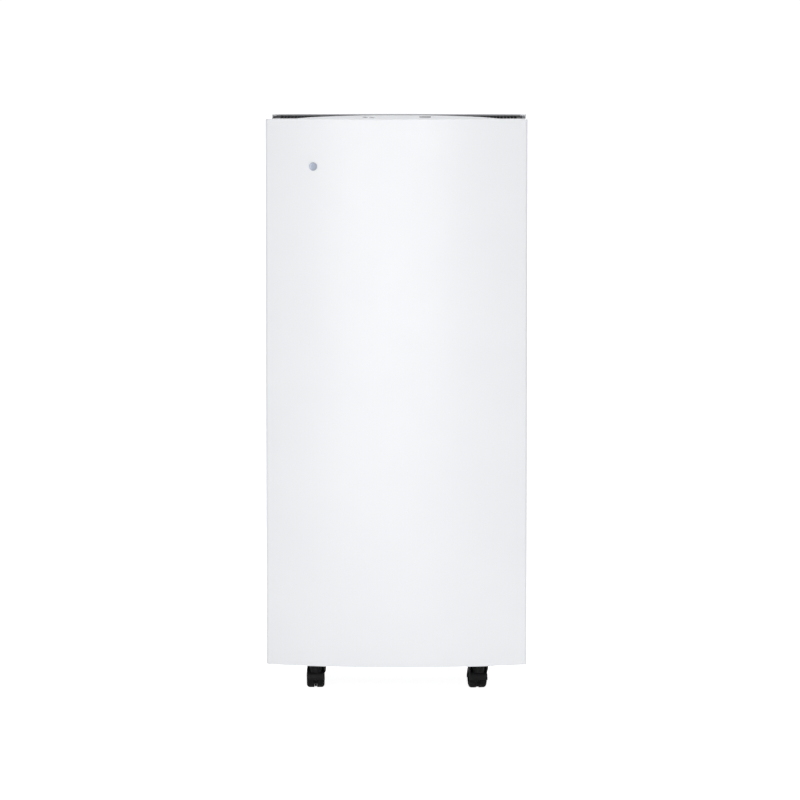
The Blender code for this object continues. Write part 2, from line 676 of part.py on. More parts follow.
def build_side_panels():
    """The two steel side panels, each a sheet with its edges folded in."""
    fold = INTAKE_BACK
    for name, way in (("left", -1), ("right", 1)):
        plan = [
            (CABINET_SIDE, -fold),
            (CABINET_SIDE, fold),
            (CABINET_SIDE - PANEL_FLANGE, fold),
            (CABINET_SIDE - PANEL_FLANGE, fold - PANEL_WALL),
            (CABINET_SIDE - PANEL_WALL, fold - PANEL_WALL),
            (CABINET_SIDE - PANEL_WALL, -fold + PANEL_WALL),
            (CABINET_SIDE - PANEL_FLANGE, -fold + PANEL_WALL),
            (CABINET_SIDE - PANEL_FLANGE, -fold),
        ]
        panel = outline(f"{name}_side_panel", [(way * x, y) for x, y in plan], (SIDE_BOTTOM, SIDE_TOP),
                        "white_lacquer")
        if name == "left":
            long, tall = SENSOR_PORT
            cut(panel, box("left_panel_sensor_port",
                           (-CABINET_SIDE - PANEL_WALL, -long / 2, SENSOR_HEIGHT - tall / 2),
                           (-CABINET_SIDE + 2 * PANEL_WALL, long / 2, SENSOR_HEIGHT + tall / 2)))


def build_top_tray():
    """The dark rim round the top, with the ledge that the outlet grille lies on."""
    side, face = CABINET_SIDE, CABINET_FACE
    tray = box("top_tray", (-side, -face, TRAY_BOTTOM), (side, face, TRAY_TOP), "dark_plastic")
    wall_x, wall_y = side - TOP_TRAY_WALL, face - TOP_TRAY_WALL
    ledge_top = GRILLE_BOTTOM - SEAT_GAP
    recess = box("top_tray_recess", (-wall_x, -wall_y, ledge_top), (wall_x, wall_y, TRAY_TOP + LEDGE_WIDTH))
    below = box("top_tray_below", (-wall_x, -wall_y, TRAY_BOTTOM - LEDGE_WIDTH),
                (wall_x, wall_y, ledge_top - LEDGE_THICKNESS))
    through_x, through_y = wall_x - LEDGE_WIDTH, wall_y - LEDGE_WIDTH
    through = box("top_tray_through", (-through_x, -through_y, TRAY_BOTTOM - LEDGE_WIDTH),
                  (through_x, through_y, TRAY_TOP + LEDGE_WIDTH))
    cut(tray, recess, below, through)


def console_back(x):
    """How far back the console reaches at x: a broad rounded arch from its straight front edge."""
    share = min(abs(x) / CONSOLE_HALF_WIDTH, 1.0)
    return -CONSOLE_FRONT + CONSOLE_DEPTH * (1 - share**CONSOLE_ROUNDNESS) ** (1 / CONSOLE_ROUNDNESS)


def control_places():
    """The middles of the button and of the indicator window."""
    return (-CONTROL_ACROSS, -CONTROL_Y), (CONTROL_ACROSS, -CONTROL_Y)


def build_outlet_grille():
    """The slotted plate in the top, solid under the console, with posts for the control board."""
    edge_x = CABINET_SIDE - TOP_TRAY_WALL - SEAT_GAP
    edge_y = CABINET_FACE - TOP_TRAY_WALL - SEAT_GAP
    plate = box("outlet_grille", (-edge_x, -edge_y, GRILLE_BOTTOM), (edge_x, edge_y, GRILLE_TOP),
                "dark_plastic")
    reach = edge_x - GRILLE_BORDER - GRILLE_SLOT / 2
    count = int(2 * reach / GRILLE_PITCH)
    slots = []
    for number in range(count + 1):
        x = -count * GRILLE_PITCH / 2 + number * GRILLE_PITCH
        clear = abs(x) - GRILLE_SLOT / 2
        front = -edge_y + GRILLE_BORDER
        if clear < CONSOLE_HALF_WIDTH:
            front = console_back(max(clear, 0.0)) + GRILLE_BORDER
        slots.append(((x - GRILLE_SLOT / 2, front, GRILLE_BOTTOM - GRILLE_THICKNESS),
                      (x + GRILLE_SLOT / 2, edge_y - GRILLE_BORDER, GRILLE_TOP + GRILLE_THICKNESS)))
    cut(plate, boxes("outlet_slots", slots))
    button, window = control_places()
    through = (-GRILLE_THICKNESS, 2 * GRILLE_THICKNESS)
    for name, place_of_hole, radius in (("stem", button, BUTTON_STEM_RADIUS + 2 * PIN_CLEARANCE),
                                        ("light", window, WINDOW_WIDTH / 2)):
        cut(plate, cylinder(f"outlet_{name}_hole", (*place_of_hole, GRILLE_BOTTOM), "Z", radius, through,
                            sides=PIN_SIDES))
    for number, way in enumerate((-1, 1)):
        x = way * (BOARD_SIZE[0] / 2 - 2 * POST_RADIUS)
        join(plate, cylinder(f"board_post_{number}", (x, -CONTROL_Y, GRILLE_BOTTOM), "Z", POST_RADIUS,
                             (-BOARD_DROP + SEAT_GAP, GRILLE_THICKNESS / 2), sides=PIN_SIDES))


def build_console():
    """The pale domed console: a low solid crowned from its edge, with holes for its controls."""
    bm = bmesh.new()
    crown = HEIGHT - CONSOLE_BOTTOM - CONSOLE_EDGE
    bmesh.ops.create_circle(bm, cap_ends=True, segments=CONSOLE_SIDES, radius=1.0)
    middle_y = -CONSOLE_FRONT + CONSOLE_DEPTH * CREST_SETBACK
    for vert in bm.verts:
        angle = math.atan2(vert.co.y, vert.co.x)
        across = math.copysign(abs(math.cos(angle)) ** (2 / CONSOLE_ROUNDNESS), math.cos(angle))
        along = abs(math.sin(angle)) ** (2 / CONSOLE_ROUNDNESS)
        back = angle > 0
        vert.co.x = across * CONSOLE_HALF_WIDTH
        vert.co.y = -CONSOLE_FRONT + (CONSOLE_DEPTH * along if back else 0.0)
        if not back:
            vert.co.x = math.cos(angle) * CONSOLE_HALF_WIDTH
        vert.co.z = CONSOLE_BOTTOM
    top = list(bm.faces)[0]
    order = [vert.co.copy() for vert in top.verts]
    extruded = bmesh.ops.extrude_face_region(bm, geom=[top], use_keep_orig=True)["geom"]
    top = next(item for item in extruded if isinstance(item, bmesh.types.BMFace))
    centre = Vector((0.0, middle_y, 0.0))
    for share, rise in CONSOLE_RINGS:
        if share < 1.0:
            extruded = bmesh.ops.extrude_face_region(bm, geom=[top])["geom"]
            bmesh.ops.delete(bm, geom=[top], context="FACES_ONLY")
            top = next(item for item in extruded if isinstance(item, bmesh.types.BMFace))
        for vert, start in zip(top.verts, order):
            flat = Vector((start.x, start.y, 0.0))
            place_now = centre + (flat - centre) * share
            vert.co = (place_now.x, place_now.y, CONSOLE_BOTTOM + CONSOLE_EDGE + crown * rise)
    bmesh.ops.poke(bm, faces=[top], offset=0.0)
    crest = max(bm.verts, key=lambda vert: len(vert.link_edges))
    crest.co.z = HEIGHT
    console = place("control_console", finish_mesh(bm, "control_console"), "console_plastic")
    smooth(console.data, 30)
    button, window = control_places()
    ring_hole = cylinder("console_ring_hole", (*button, CONSOLE_BOTTOM), "Z", RING_RADIUS + SEAT_GAP,
                         (-RING_LIP, RING_RADIUS), sides=ROUND)
    window_hole = outline("console_window_hole", pill(window, SEAT_GAP),
                          (CONSOLE_BOTTOM - RING_LIP, HEIGHT + RING_LIP))
    cut(console, ring_hole, window_hole)


def dome_height(x, y):
    """Roughly how high the console's crowned face is at a place on it."""
    setback = CONSOLE_DEPTH * CREST_SETBACK
    share = min(math.hypot(x / CONSOLE_HALF_WIDTH, (y + CONSOLE_FRONT - setback) / setback), 1.0)
    crown = HEIGHT - CONSOLE_BOTTOM - CONSOLE_EDGE
    return CONSOLE_BOTTOM + CONSOLE_EDGE + crown * (1 - CROWN_FALL * share**2)


def pill(centre, grow=0.0):
    """The indicator window's plan, a slot with round ends."""
    radius = WINDOW_WIDTH / 2 + grow
    reach = WINDOW_LENGTH / 2 - WINDOW_WIDTH / 2
    right = arc((centre[0] + reach, centre[1]), radius, -90, 90, 6)
    left = arc((centre[0] - reach, centre[1]), radius, 90, 270, 6)
    return right + left


def build_controls():
    """The button in its trim ring, the indicator window, and the board under the plate."""
    button, window = control_places()
    top = dome_height(*button) + 2 * SEAT_GAP
    lip_bottom = top - RING_LIP
    flange_radius = BUTTON_RADIUS + BUTTON_FLANGE
    ring = [
        (BUTTON_RADIUS + PIN_CLEARANCE, top),
        (RING_RADIUS - RING_LIP / 2, top),
        (RING_RADIUS, top - RING_LIP / 2),
        (RING_RADIUS, CONSOLE_BOTTOM),
        (flange_radius + PIN_CLEARANCE, CONSOLE_BOTTOM),
        (flange_radius + PIN_CLEARANCE, lip_bottom),
        (BUTTON_RADIUS + PIN_CLEARANCE, lip_bottom),
    ]
    turned("button_ring", ring, (*button, 0), "Z", "steel")
    flange_top = lip_bottom - SEAT_GAP
    flange_bottom = flange_top - RING_LIP
    stem_bottom = GRILLE_BOTTOM - BOARD_DROP + SWITCH_HEIGHT + BUTTON_TRAVEL + SEAT_GAP
    cap = top + 2 * SEAT_GAP
    profile = [
        (0, cap),
        (BUTTON_RADIUS - RING_LIP / 2, cap),
        (BUTTON_RADIUS, cap - RING_LIP / 2),
        (BUTTON_RADIUS, flange_top),
        (flange_radius, flange_top),
        (flange_radius, flange_bottom),
        (BUTTON_STEM_RADIUS, flange_bottom),
        (BUTTON_STEM_RADIUS, stem_bottom),
        (0, stem_bottom),
    ]
    turned("power_button", profile, (*button, 0), "Z", "console_plastic", solid=True)
    outline("indicator_window", pill(window), (CONSOLE_BOTTOM, dome_height(*window) + SEAT_GAP),
            "smoked_window")

    board_top = GRILLE_BOTTOM - BOARD_DROP
    length, depth, thickness = BOARD_SIZE
    board = box("control_board", (-length / 2, -CONTROL_Y - depth / 2, board_top - thickness),
                (length / 2, -CONTROL_Y + depth / 2, board_top), "board_green")
    chip = depth / 8
    parts = []
    root = board_top - thickness / 2
    for (x, y), reach, height in (
        (button, SWITCH_HEIGHT, SWITCH_HEIGHT),
        (window, SWITCH_HEIGHT, SWITCH_HEIGHT),
        ((0, -CONTROL_Y), chip, thickness),
    ):
        parts.append(((x - reach, y - reach, root), (x + reach, y + reach, board_top + height)))
    join(board, boxes("control_board_parts", parts))


def scroll_path():
    """The fan casing's wrapper seen from the front, as (x, z) points.

    It comes down from the outlet's left edge, round the tongue, round the fan in a growing
    spiral, and up the right side.
    """
    tongue_turn = math.radians(TONGUE_ANGLE)
    nose_distance = SCROLL_START + TONGUE_RADIUS
    nose = (nose_distance * math.cos(tongue_turn), FAN_HEIGHT + nose_distance * math.sin(tongue_turn))
    corner = (-SCROLL_END, SCROLL_TOP)
    lead = math.degrees(math.atan2(nose[0] - corner[0], corner[1] - nose[1]))
    path = [corner] + arc(nose, TONGUE_RADIUS, lead, TONGUE_ANGLE - 180, 6)
    steps = 26
    for step in range(1, steps + 1):
        angle = TONGUE_ANGLE + (360 - TONGUE_ANGLE) * step / steps
        radius = SCROLL_START + (SCROLL_END - SCROLL_START) * step / steps
        turn = math.radians(angle)
        path.append((radius * math.cos(turn), FAN_HEIGHT + radius * math.sin(turn)))
    path.append((SCROLL_END, SCROLL_TOP))
    return path


def build_scroll():
    """The wrapper of the fan casing, between the partitions, open at the top."""
    width = 2 * (PARTITION_Y - PARTITION_WALL - SEAT_GAP)
    bm = bmesh.new()
    verts = [bm.verts.new((x, -width / 2, z)) for x, z in scroll_path()]
    edges = [bm.edges.new(pair) for pair in zip(verts, verts[1:])]
    extruded = bmesh.ops.extrude_edge_only(bm, edges=edges)["geom"]
    moved = [item for item in extruded if isinstance(item, bmesh.types.BMVert)]
    bmesh.ops.translate(bm, verts=moved, vec=(0, width, 0))
    mesh = bpy.data.meshes.new("fan_scroll")
    bm.to_mesh(mesh)
    bm.free()
    smooth(mesh)
    scroll = place("fan_scroll", mesh, "zinc_sheet")
    wall = scroll.modifiers.new("Wall", "SOLIDIFY")
    wall.thickness = SCROLL_WALL
    wall.offset = 0.0
    wall.use_even_offset = False


def build_impeller(axis):
    """The double-inlet wheel: a hub and disc, two end rings and the blades between them."""
    inner = IMPELLER_RADIUS - BLADE_CHORD
    disc = [
        (SHAFT_RADIUS + PIN_CLEARANCE, HUB_RADIUS),
        (HUB_RADIUS, HUB_RADIUS),
        (HUB_RADIUS, DISC_THICKNESS / 2),
        (IMPELLER_RADIUS, DISC_THICKNESS / 2),
        (IMPELLER_RADIUS, -DISC_THICKNESS / 2),
        (HUB_RADIUS, -DISC_THICKNESS / 2),
        (SHAFT_RADIUS + PIN_CLEARANCE, -DISC_THICKNESS / 2),
    ]
    wheel = turned("impeller", disc, (0, 0, 0), "Y", "fan_plastic", axis, WIDE_ROUND)
    for name, way in (("front", -1), ("rear", 1)):
        outer_end, inner_end = way * IMPELLER_HALF_WIDTH, way * (IMPELLER_HALF_WIDTH - END_RING_THICKNESS)
        top, bottom = max(outer_end, inner_end), min(outer_end, inner_end)
        ring = [
            (IMPELLER_RADIUS - END_RING_DEPTH, top),
            (IMPELLER_RADIUS, top),
            (IMPELLER_RADIUS, bottom),
            (IMPELLER_RADIUS - END_RING_DEPTH, bottom),
        ]
        join(wheel, turned(f"impeller_{name}_ring", ring, (0, 0, 0), "Y", None, axis, WIDE_ROUND))
    bm = bmesh.new()
    half_width = IMPELLER_HALF_WIDTH - END_RING_THICKNESS / 2
    for number in range(BLADE_COUNT):
        start = 2 * math.pi * number / BLADE_COUNT
        sides = []
        for offset in (-BLADE_THICKNESS / 2, BLADE_THICKNESS / 2):
            line = []
            for section in range(BLADE_SECTIONS + 1):
                share = section / BLADE_SECTIONS
                radius = inner + (BLADE_CHORD - BLADE_THICKNESS) * share
                angle = start + BLADE_SWEEP * share * share + offset / radius
                line.append((radius * math.cos(angle), -half_width, radius * math.sin(angle)))
            sides.append(line)
        loop = [bm.verts.new(point) for point in sides[0] + sides[1][::-1]]
        face = bm.faces.new(loop)
        extruded = bmesh.ops.extrude_face_region(bm, geom=[face], use_keep_orig=True)["geom"]
        moved = [item for item in extruded if isinstance(item, bmesh.types.BMVert)]
        bmesh.ops.translate(bm, verts=moved, vec=(0, 2 * half_width, 0))
    blades = place("impeller_blades", finish_mesh(bm, "impeller_blades"), None, axis)
    join(wheel, blades)


def build_fan():
    """The motor on its three-armed bracket, its shaft, the impeller and the casing."""
    axis = empty("impeller_axis", (0, 0, FAN_HEIGHT))
    build_impeller(axis)
    build_scroll()
    spider_back = PARTITION_Y + 2 * SEAT_GAP + INLET_WALL + SEAT_GAP
    motor_front = spider_back - SEAT_GAP
    motor_back = motor_front - MOTOR_LENGTH
    bore_end = motor_front - MOTOR_BORE_STOP
    motor = [
        (0, -motor_back),
        (MOTOR_RADIUS - MOTOR_SHOULDER, -motor_back),
        (MOTOR_RADIUS, -motor_back - MOTOR_SHOULDER),
        (MOTOR_RADIUS, -motor_front + MOTOR_CHAMFER),
        (MOTOR_RADIUS - MOTOR_CHAMFER, -motor_front),
        (0, -motor_front),
    ]
    body = turned("fan_motor", motor, (0, 0, FAN_HEIGHT), "Y", "steel", None, 24, solid=True)
    cut(body, cylinder("fan_motor_bore", (0, 0, FAN_HEIGHT), "Y", SHAFT_RADIUS + PIN_CLEARANCE,
                       (-bore_end, HUB_RADIUS), sides=PIN_SIDES))
    cylinder("motor_shaft", (0, 0, 0), "Y", SHAFT_RADIUS,
             (-bore_end + 2 * SEAT_GAP, HUB_RADIUS + SHAFT_RADIUS), "steel", axis, PIN_SIDES)

    front = -spider_back - SPIDER_THICKNESS
    spider = cylinder("motor_bracket", (0, 0, FAN_HEIGHT), "Y", SPIDER_HUB, (front, -spider_back),
                      "zinc_sheet")
    foot_start = INLET_RADIUS + INLET_LIP + 2 * SEAT_GAP
    arm_end = foot_start + SPIDER_ARM
    for number in range(3):
        lean = Matrix.Rotation(math.radians(90 + 120 * number), 4, "Y")
        turn = Matrix.Translation((0, 0, FAN_HEIGHT)) @ lean
        step = SPIDER_THICKNESS / 8
        arm = box(f"motor_bracket_arm_{number}", (SPIDER_HUB / 2, front + step, -SPIDER_ARM / 2),
                  (arm_end, -spider_back - step, SPIDER_ARM / 2))
        foot = box(f"motor_bracket_foot_{number}",
                   (foot_start, -spider_back - SPIDER_THICKNESS / 2, -SPIDER_ARM / 2 - step),
                   (arm_end + step, -PARTITION_Y - SEAT_GAP, SPIDER_ARM / 2 + step))
        arm.matrix_basis = turn
        foot.matrix_basis = turn
        join(spider, arm, foot)


def inlet_body_size():
    """The mains inlet's body behind its flange, across and up."""
    return INLET_SOCKET[0] + 2 * INLET_BODY_WALL, INLET_SOCKET[1] + 2 * INLET_BODY_WALL


def build_electrics():
    """The power supply, the air quality sensor and the mains inlet in the base tray's right side."""
    floor = BASE_UNDERSIDE + BASE_WALL + SEAT_GAP
    length, depth, height = SUPPLY_SIZE
    supply = box("power_supply", (SUPPLY_X - length / 2, -depth / 2, floor),
                 (SUPPLY_X + length / 2, depth / 2, floor + height), "zinc_sheet")
    broad, long, deep = GROOVE_SIZE
    vents = []
    for number in range(SUPPLY_GROOVES):
        x = SUPPLY_X + GROOVE_PITCH * (number - (SUPPLY_GROOVES - 1) / 2)
        vents.append(((x - broad / 2, -long / 2, floor + height - deep),
                      (x + broad / 2, long / 2, floor + height + deep)))
    cut(supply, boxes("power_supply_grooves", vents))

    deep, wide, tall = SENSOR_SIZE
    inner = CABINET_SIDE - PANEL_WALL - SEAT_GAP
    sensor = box("air_sensor", (-inner, -wide / 2, SENSOR_HEIGHT - tall / 2),
                 (-inner + deep, wide / 2, SENSOR_HEIGHT + tall / 2), "dark_plastic")
    long, high = SENSOR_PORT
    cut(sensor, box("air_sensor_port", (-inner - deep / 4, -long / 2, SENSOR_HEIGHT - high / 2),
                    (-inner + deep / 2, long / 2, SENSOR_HEIGHT + high / 2)))

    width, tall = inlet_body_size()
    middle = BASE_UNDERSIDE + BASE_HEIGHT / 2
    outside = CABINET_SIDE + SEAT_GAP
    flange_outside = outside + INLET_FLANGE
    body = box("mains_inlet", (outside - INLET_BODY_DEPTH, -width / 2, middle - tall / 2),
               (outside + INLET_FLANGE / 2, width / 2, middle + tall / 2), "dark_plastic")
    flange = box("mains_inlet_flange",
                 (outside, -width / 2 - INLET_FLANGE_PROUD, middle - tall / 2 - INLET_FLANGE_PROUD),
                 (flange_outside, width / 2 + INLET_FLANGE_PROUD, middle + tall / 2 + INLET_FLANGE_PROUD))
    socket = box("mains_inlet_socket",
                 (flange_outside - INLET_SOCKET_DEPTH, -INLET_SOCKET[0] / 2, middle - INLET_SOCKET[1] / 2),
                 (flange_outside + INLET_FLANGE, INLET_SOCKET[0] / 2, middle + INLET_SOCKET[1] / 2))
    long, thick, broad = PRONG_SIZE
    prongs = []
    for y, rise in ((-PRONG_SPACING, -PRONG_RISE), (0.0, PRONG_RISE), (PRONG_SPACING, -PRONG_RISE)):
        z = middle + rise
        root = flange_outside - INLET_SOCKET_DEPTH
        prongs.append(((root - thick, y - thick / 2, z - broad / 2),
                       (root + long, y + thick / 2, z + broad / 2)))
    join(cut(join(body, flange), socket), boxes("mains_inlet_prongs", prongs))


def castor_places():
    """Each castor's name and the place of its swivel axis."""
    for name in CASTOR_HEADINGS:
        front = name.startswith("front")
        x = FRONT_CASTOR_X if front else REAR_CASTOR_X
        yield name, -x if name.endswith("left") else x, -CASTOR_Y if front else CASTOR_Y


def build_castor(name, x, y):
    """A twin-wheel castor: a hood with its stem and axle, and two wheels that roll by themselves."""
    swivel = empty(f"{name}_swivel", (x, y, 0), math.radians(CASTOR_HEADINGS[name]))
    axle = (0, CASTOR_TRAIL, WHEEL_CENTRE)
    space = WHEEL_RADIUS + WHEEL_CLEARANCE
    cover = space + HOOD_WALL
    half_width = HOOD_WEB / 2 + PIN_CLEARANCE * 2 + WHEEL_WIDTH
    profile = arc(axle[1:], cover, -8, 188, 12) + arc(axle[1:], WEB_REACH, 205, 335, 5)
    hood = outline(f"{name}_castor_hood", profile, (-half_width, half_width), "castor_plastic", swivel, "YZ")
    boss_top = BASE_UNDERSIDE - HOOD_TO_BASE
    boss = cylinder(f"{name}_swivel_boss", (0, 0, 0), "Z", SWIVEL_RADIUS,
                    (WHEEL_CENTRE + WHEEL_RADIUS / 2, boss_top), None, swivel)
    join(hood, boss)
    for side, way in (("left", -1), ("right", 1)):
        ends = sorted((way * HOOD_WEB / 2, way * (half_width + SWIVEL_RADIUS)))
        cut(hood, cylinder(f"{name}_{side}_wheel_space", axle, "X", space, ends, None, swivel, 20))
    pin_reach = half_width - HUB_DEPTH
    pin = cylinder(f"{name}_axle", axle, "X", AXLE_RADIUS, (-pin_reach, pin_reach), None, swivel, PIN_SIDES)
    stem = cylinder(f"{name}_stem", (0, 0, BASE_UNDERSIDE), "Z", STEM_RADIUS,
                    (-SWIVEL_RADIUS / 2, STEM_LENGTH), None, swivel)
    join(hood, pin, stem)

    near, far = HOOD_WEB / 2 + PIN_CLEARANCE * 2, half_width
    bore = AXLE_RADIUS + PIN_CLEARANCE
    dish_floor, dish_rim = HUB_DISH_RADII
    for side, way in (("left", -1), ("right", 1)):
        wheel = [
            (bore, far - HUB_DEPTH),
            (dish_floor, far - HUB_DEPTH),
            (dish_rim, far),
            (WHEEL_RADIUS - TREAD_ROUNDING, far),
            (WHEEL_RADIUS, far - TREAD_ROUNDING),
            (WHEEL_RADIUS, near + INNER_ROUNDING),
            (WHEEL_RADIUS - INNER_ROUNDING, near),
            (bore, near),
        ]
        if way < 0:
            wheel = [(radius, -height) for radius, height in reversed(wheel)]
        turned(f"{name}_{side}_wheel", wheel, axle, "X", "castor_plastic", swivel, WHEEL_SIDES,
               phase=math.pi / WHEEL_SIDES)


def main():
    """Builds the purifier from the floor up."""
    clear_scene()
    for place_of_castor in castor_places():
        build_castor(*place_of_castor)
    build_base()
    build_side_panels()
    for side in LAYOUT:
        build_half(side)
    build_fan()
    build_electrics()
    build_top_tray()
    build_outlet_grille()
    build_console()
    build_controls()


main()
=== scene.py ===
"""The finished look of a tall room air purifier, built round its fixed frame.

Metres, +Z up, with the front facing -Y. The frame holds every part at its true size and place.
Each class below makes the fine surface of one sub-assembly, and takes its places from the frame.
"""

import json
import logging
import math
from collections.abc import Callable, Iterable
from dataclasses import dataclass, field
from enum import Enum

import bmesh
import bpy
from mathutils import Euler, Matrix, Vector


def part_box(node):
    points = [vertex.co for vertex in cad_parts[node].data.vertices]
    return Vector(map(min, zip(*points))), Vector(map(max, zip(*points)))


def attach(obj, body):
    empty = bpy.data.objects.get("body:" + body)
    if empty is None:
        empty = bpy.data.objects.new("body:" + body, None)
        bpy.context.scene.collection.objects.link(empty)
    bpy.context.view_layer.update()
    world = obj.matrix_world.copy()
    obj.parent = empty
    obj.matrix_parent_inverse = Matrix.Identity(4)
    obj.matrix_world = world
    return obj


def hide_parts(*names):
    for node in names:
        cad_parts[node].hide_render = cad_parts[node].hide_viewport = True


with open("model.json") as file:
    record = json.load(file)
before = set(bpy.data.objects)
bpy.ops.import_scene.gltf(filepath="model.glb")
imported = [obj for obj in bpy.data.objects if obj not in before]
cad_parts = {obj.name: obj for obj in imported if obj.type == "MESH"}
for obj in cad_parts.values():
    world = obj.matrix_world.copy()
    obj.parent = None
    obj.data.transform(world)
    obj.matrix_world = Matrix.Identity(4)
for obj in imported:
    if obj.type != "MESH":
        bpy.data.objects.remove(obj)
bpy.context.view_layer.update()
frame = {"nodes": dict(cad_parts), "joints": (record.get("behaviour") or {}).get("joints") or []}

LOG = logging.getLogger("air_purifier")
CORNERS = ("front_left", "front_right", "rear_left", "rear_right")
MERGE = 1e-5
FLAT = math.radians(0.5)

Point = tuple[float, float, float]
Colour = tuple[float, float, float]
Profile = list[tuple[float, float]]
Piece = bpy.types.Object
Socket = bpy.types.NodeSocket
Tree = bpy.types.NodeTree


class Axis(Enum):
    """The direction that a turned piece's own axis takes."""

    X = (0.0, math.pi / 2, 0.0)
    Y = (-math.pi / 2, 0.0, 0.0)
    Z = (0.0, 0.0, 0.0)


class Side(Enum):
    """The half of the cabinet that a door and its filters belong to, and how far it is turned."""

    FRONT = 0.0
    REAR = math.pi

    @property
    def word(self) -> str:
        """The half's name, as the frame's nodes begin."""
        return self.name.lower()


# ---- node groups: effects that several finishes share ------------------------------------------


class Effect(Enum):
    """The surface patterns, each a node group made once."""

    GRAIN = "moulded grain"
    PEEL = "lacquer ripple"
    BRUSHED = "brushed lines"
    SPANGLE = "zinc spangle"
    FIBRE = "pressed fibre"
    TRACKS = "circuit tracks"


class GroupMaker:
    """Builds one node group, with shorthand for adding and wiring its nodes."""

    def __init__(self, name: str) -> None:
        """Starts the group with the inputs and outputs that every effect has.

        Args:
            name: The group's name.
        """
        self.tree = bpy.data.node_groups.new(name, "ShaderNodeTree")
        for label, kind in (("Tone A", "NodeSocketColor"), ("Tone B", "NodeSocketColor"),
                            ("Scale", "NodeSocketFloat"), ("Rough Low", "NodeSocketFloat"),
                            ("Rough High", "NodeSocketFloat")):
            self.tree.interface.new_socket(name=label, in_out="INPUT", socket_type=kind)
        for label, kind in (("Color", "NodeSocketColor"), ("Roughness", "NodeSocketFloat"),
                            ("Height", "NodeSocketFloat")):
            self.tree.interface.new_socket(name=label, in_out="OUTPUT", socket_type=kind)
        self.given = self.tree.nodes.new("NodeGroupInput")
        self.result = self.tree.nodes.new("NodeGroupOutput")
        self.place = self.tree.nodes.new("ShaderNodeTexCoord").outputs["Object"]

    def wire(self, source: Socket, target: Socket) -> None:
        """Joins one socket to another."""
        self.tree.links.new(source, target)

    def stretched(self, scale: Point) -> Socket:
        """The object's coordinates, scaled by axis.

        Args:
            scale: The scale along X, Y and Z.

        Returns:
            The socket of the scaled coordinates.
        """
        node = self.tree.nodes.new("ShaderNodeMapping")
        node.inputs["Scale"].default_value = scale
        self.wire(self.place, node.inputs["Vector"])
        return node.outputs["Vector"]

    def noise(self, vector: Socket, share: float, detail: float = 3.0) -> Socket:
        """A noise whose scale is a share of the group's Scale.

        Args:
            vector: The coordinates that it reads.
            share: The noise's scale over the group's.
            detail: How many finer layers it has.

        Returns:
            The socket of its value, from 0 to 1.
        """
        scale = self.math("MULTIPLY", self.given.outputs["Scale"], share)
        node = self.tree.nodes.new("ShaderNodeTexNoise")
        node.inputs["Detail"].default_value = detail
        self.wire(vector, node.inputs["Vector"])
        self.wire(scale, node.inputs["Scale"])
        return node.outputs["Fac"]

    def cells(self, vector: Socket, share: float) -> bpy.types.Node:
        """A Voronoi texture whose scale is a share of the group's Scale.

        Args:
            vector: The coordinates that it reads.
            share: The texture's scale over the group's.

        Returns:
            The texture's node.
        """
        node = self.tree.nodes.new("ShaderNodeTexVoronoi")
        self.wire(vector, node.inputs["Vector"])
        self.wire(self.math("MULTIPLY", self.given.outputs["Scale"], share), node.inputs["Scale"])
        return node

    def math(self, operation: str, first: Socket,
             second: Socket | float) -> Socket:
        """A sum on two values.

        Args:
            operation: Blender's name for it.
            first: The socket of the first value.
            second: The second value, or its socket.

        Returns:
            The socket of the result.
        """
        node = self.tree.nodes.new("ShaderNodeMath")
        node.operation = operation
        self.wire(first, node.inputs[0])
        if isinstance(second, Socket):
            self.wire(second, node.inputs[1])
        else:
            node.inputs[1].default_value = second
        return node.outputs[0]

    def sharpened(self, value: Socket, low: float, high: float) -> Socket:
        """The value spread so that low becomes 0 and high becomes 1.

        Args:
            value: The value's socket.
            low: The value that becomes 0.
            high: The value that becomes 1.

        Returns:
            The socket of the spread value.
        """
        node = self.tree.nodes.new("ShaderNodeMapRange")
        node.inputs["From Min"].default_value = low
        node.inputs["From Max"].default_value = high
        self.wire(value, node.inputs["Value"])
        return node.outputs["Result"]

    def finish(self, tone: Socket, shine: Socket,
               height: Socket) -> Tree:
        """Puts out the colour between the two tones, the roughness and the height.

        Args:
            tone: 0 for Tone A, 1 for Tone B.
            shine: 0 for Rough Low, 1 for Rough High.
            height: The height of the surface.

        Returns:
            The finished group.
        """
        mix = self.tree.nodes.new("ShaderNodeMixRGB")
        self.wire(tone, mix.inputs["Fac"])
        self.wire(self.given.outputs["Tone A"], mix.inputs["Color1"])
        self.wire(self.given.outputs["Tone B"], mix.inputs["Color2"])
        self.wire(mix.outputs["Color"], self.result.inputs["Color"])
        rough = self.tree.nodes.new("ShaderNodeMapRange")
        self.wire(shine, rough.inputs["Value"])
        self.wire(self.given.outputs["Rough Low"], rough.inputs["To Min"])
        self.wire(self.given.outputs["Rough High"], rough.inputs["To Max"])
        self.wire(rough.outputs["Result"], self.result.inputs["Roughness"])
        self.wire(height, self.result.inputs["Height"])
        return self.tree

    def moulded_grain(self) -> Tree:
        """Spark-eroded plastic: close rounded grains over a faint cloudiness.

        Returns:
            The finished group.
        """
        grain = self.cells(self.place, 1.0).outputs["Distance"]
        speckle = self.noise(self.place, 0.6, 4.0)
        cloud = self.noise(self.place, 0.02)
        height = self.math("ADD", grain, speckle)
        return self.finish(self.sharpened(self.math("ADD", cloud, speckle), 0.8, 1.2),
                           self.sharpened(cloud, 0.35, 0.65), height)

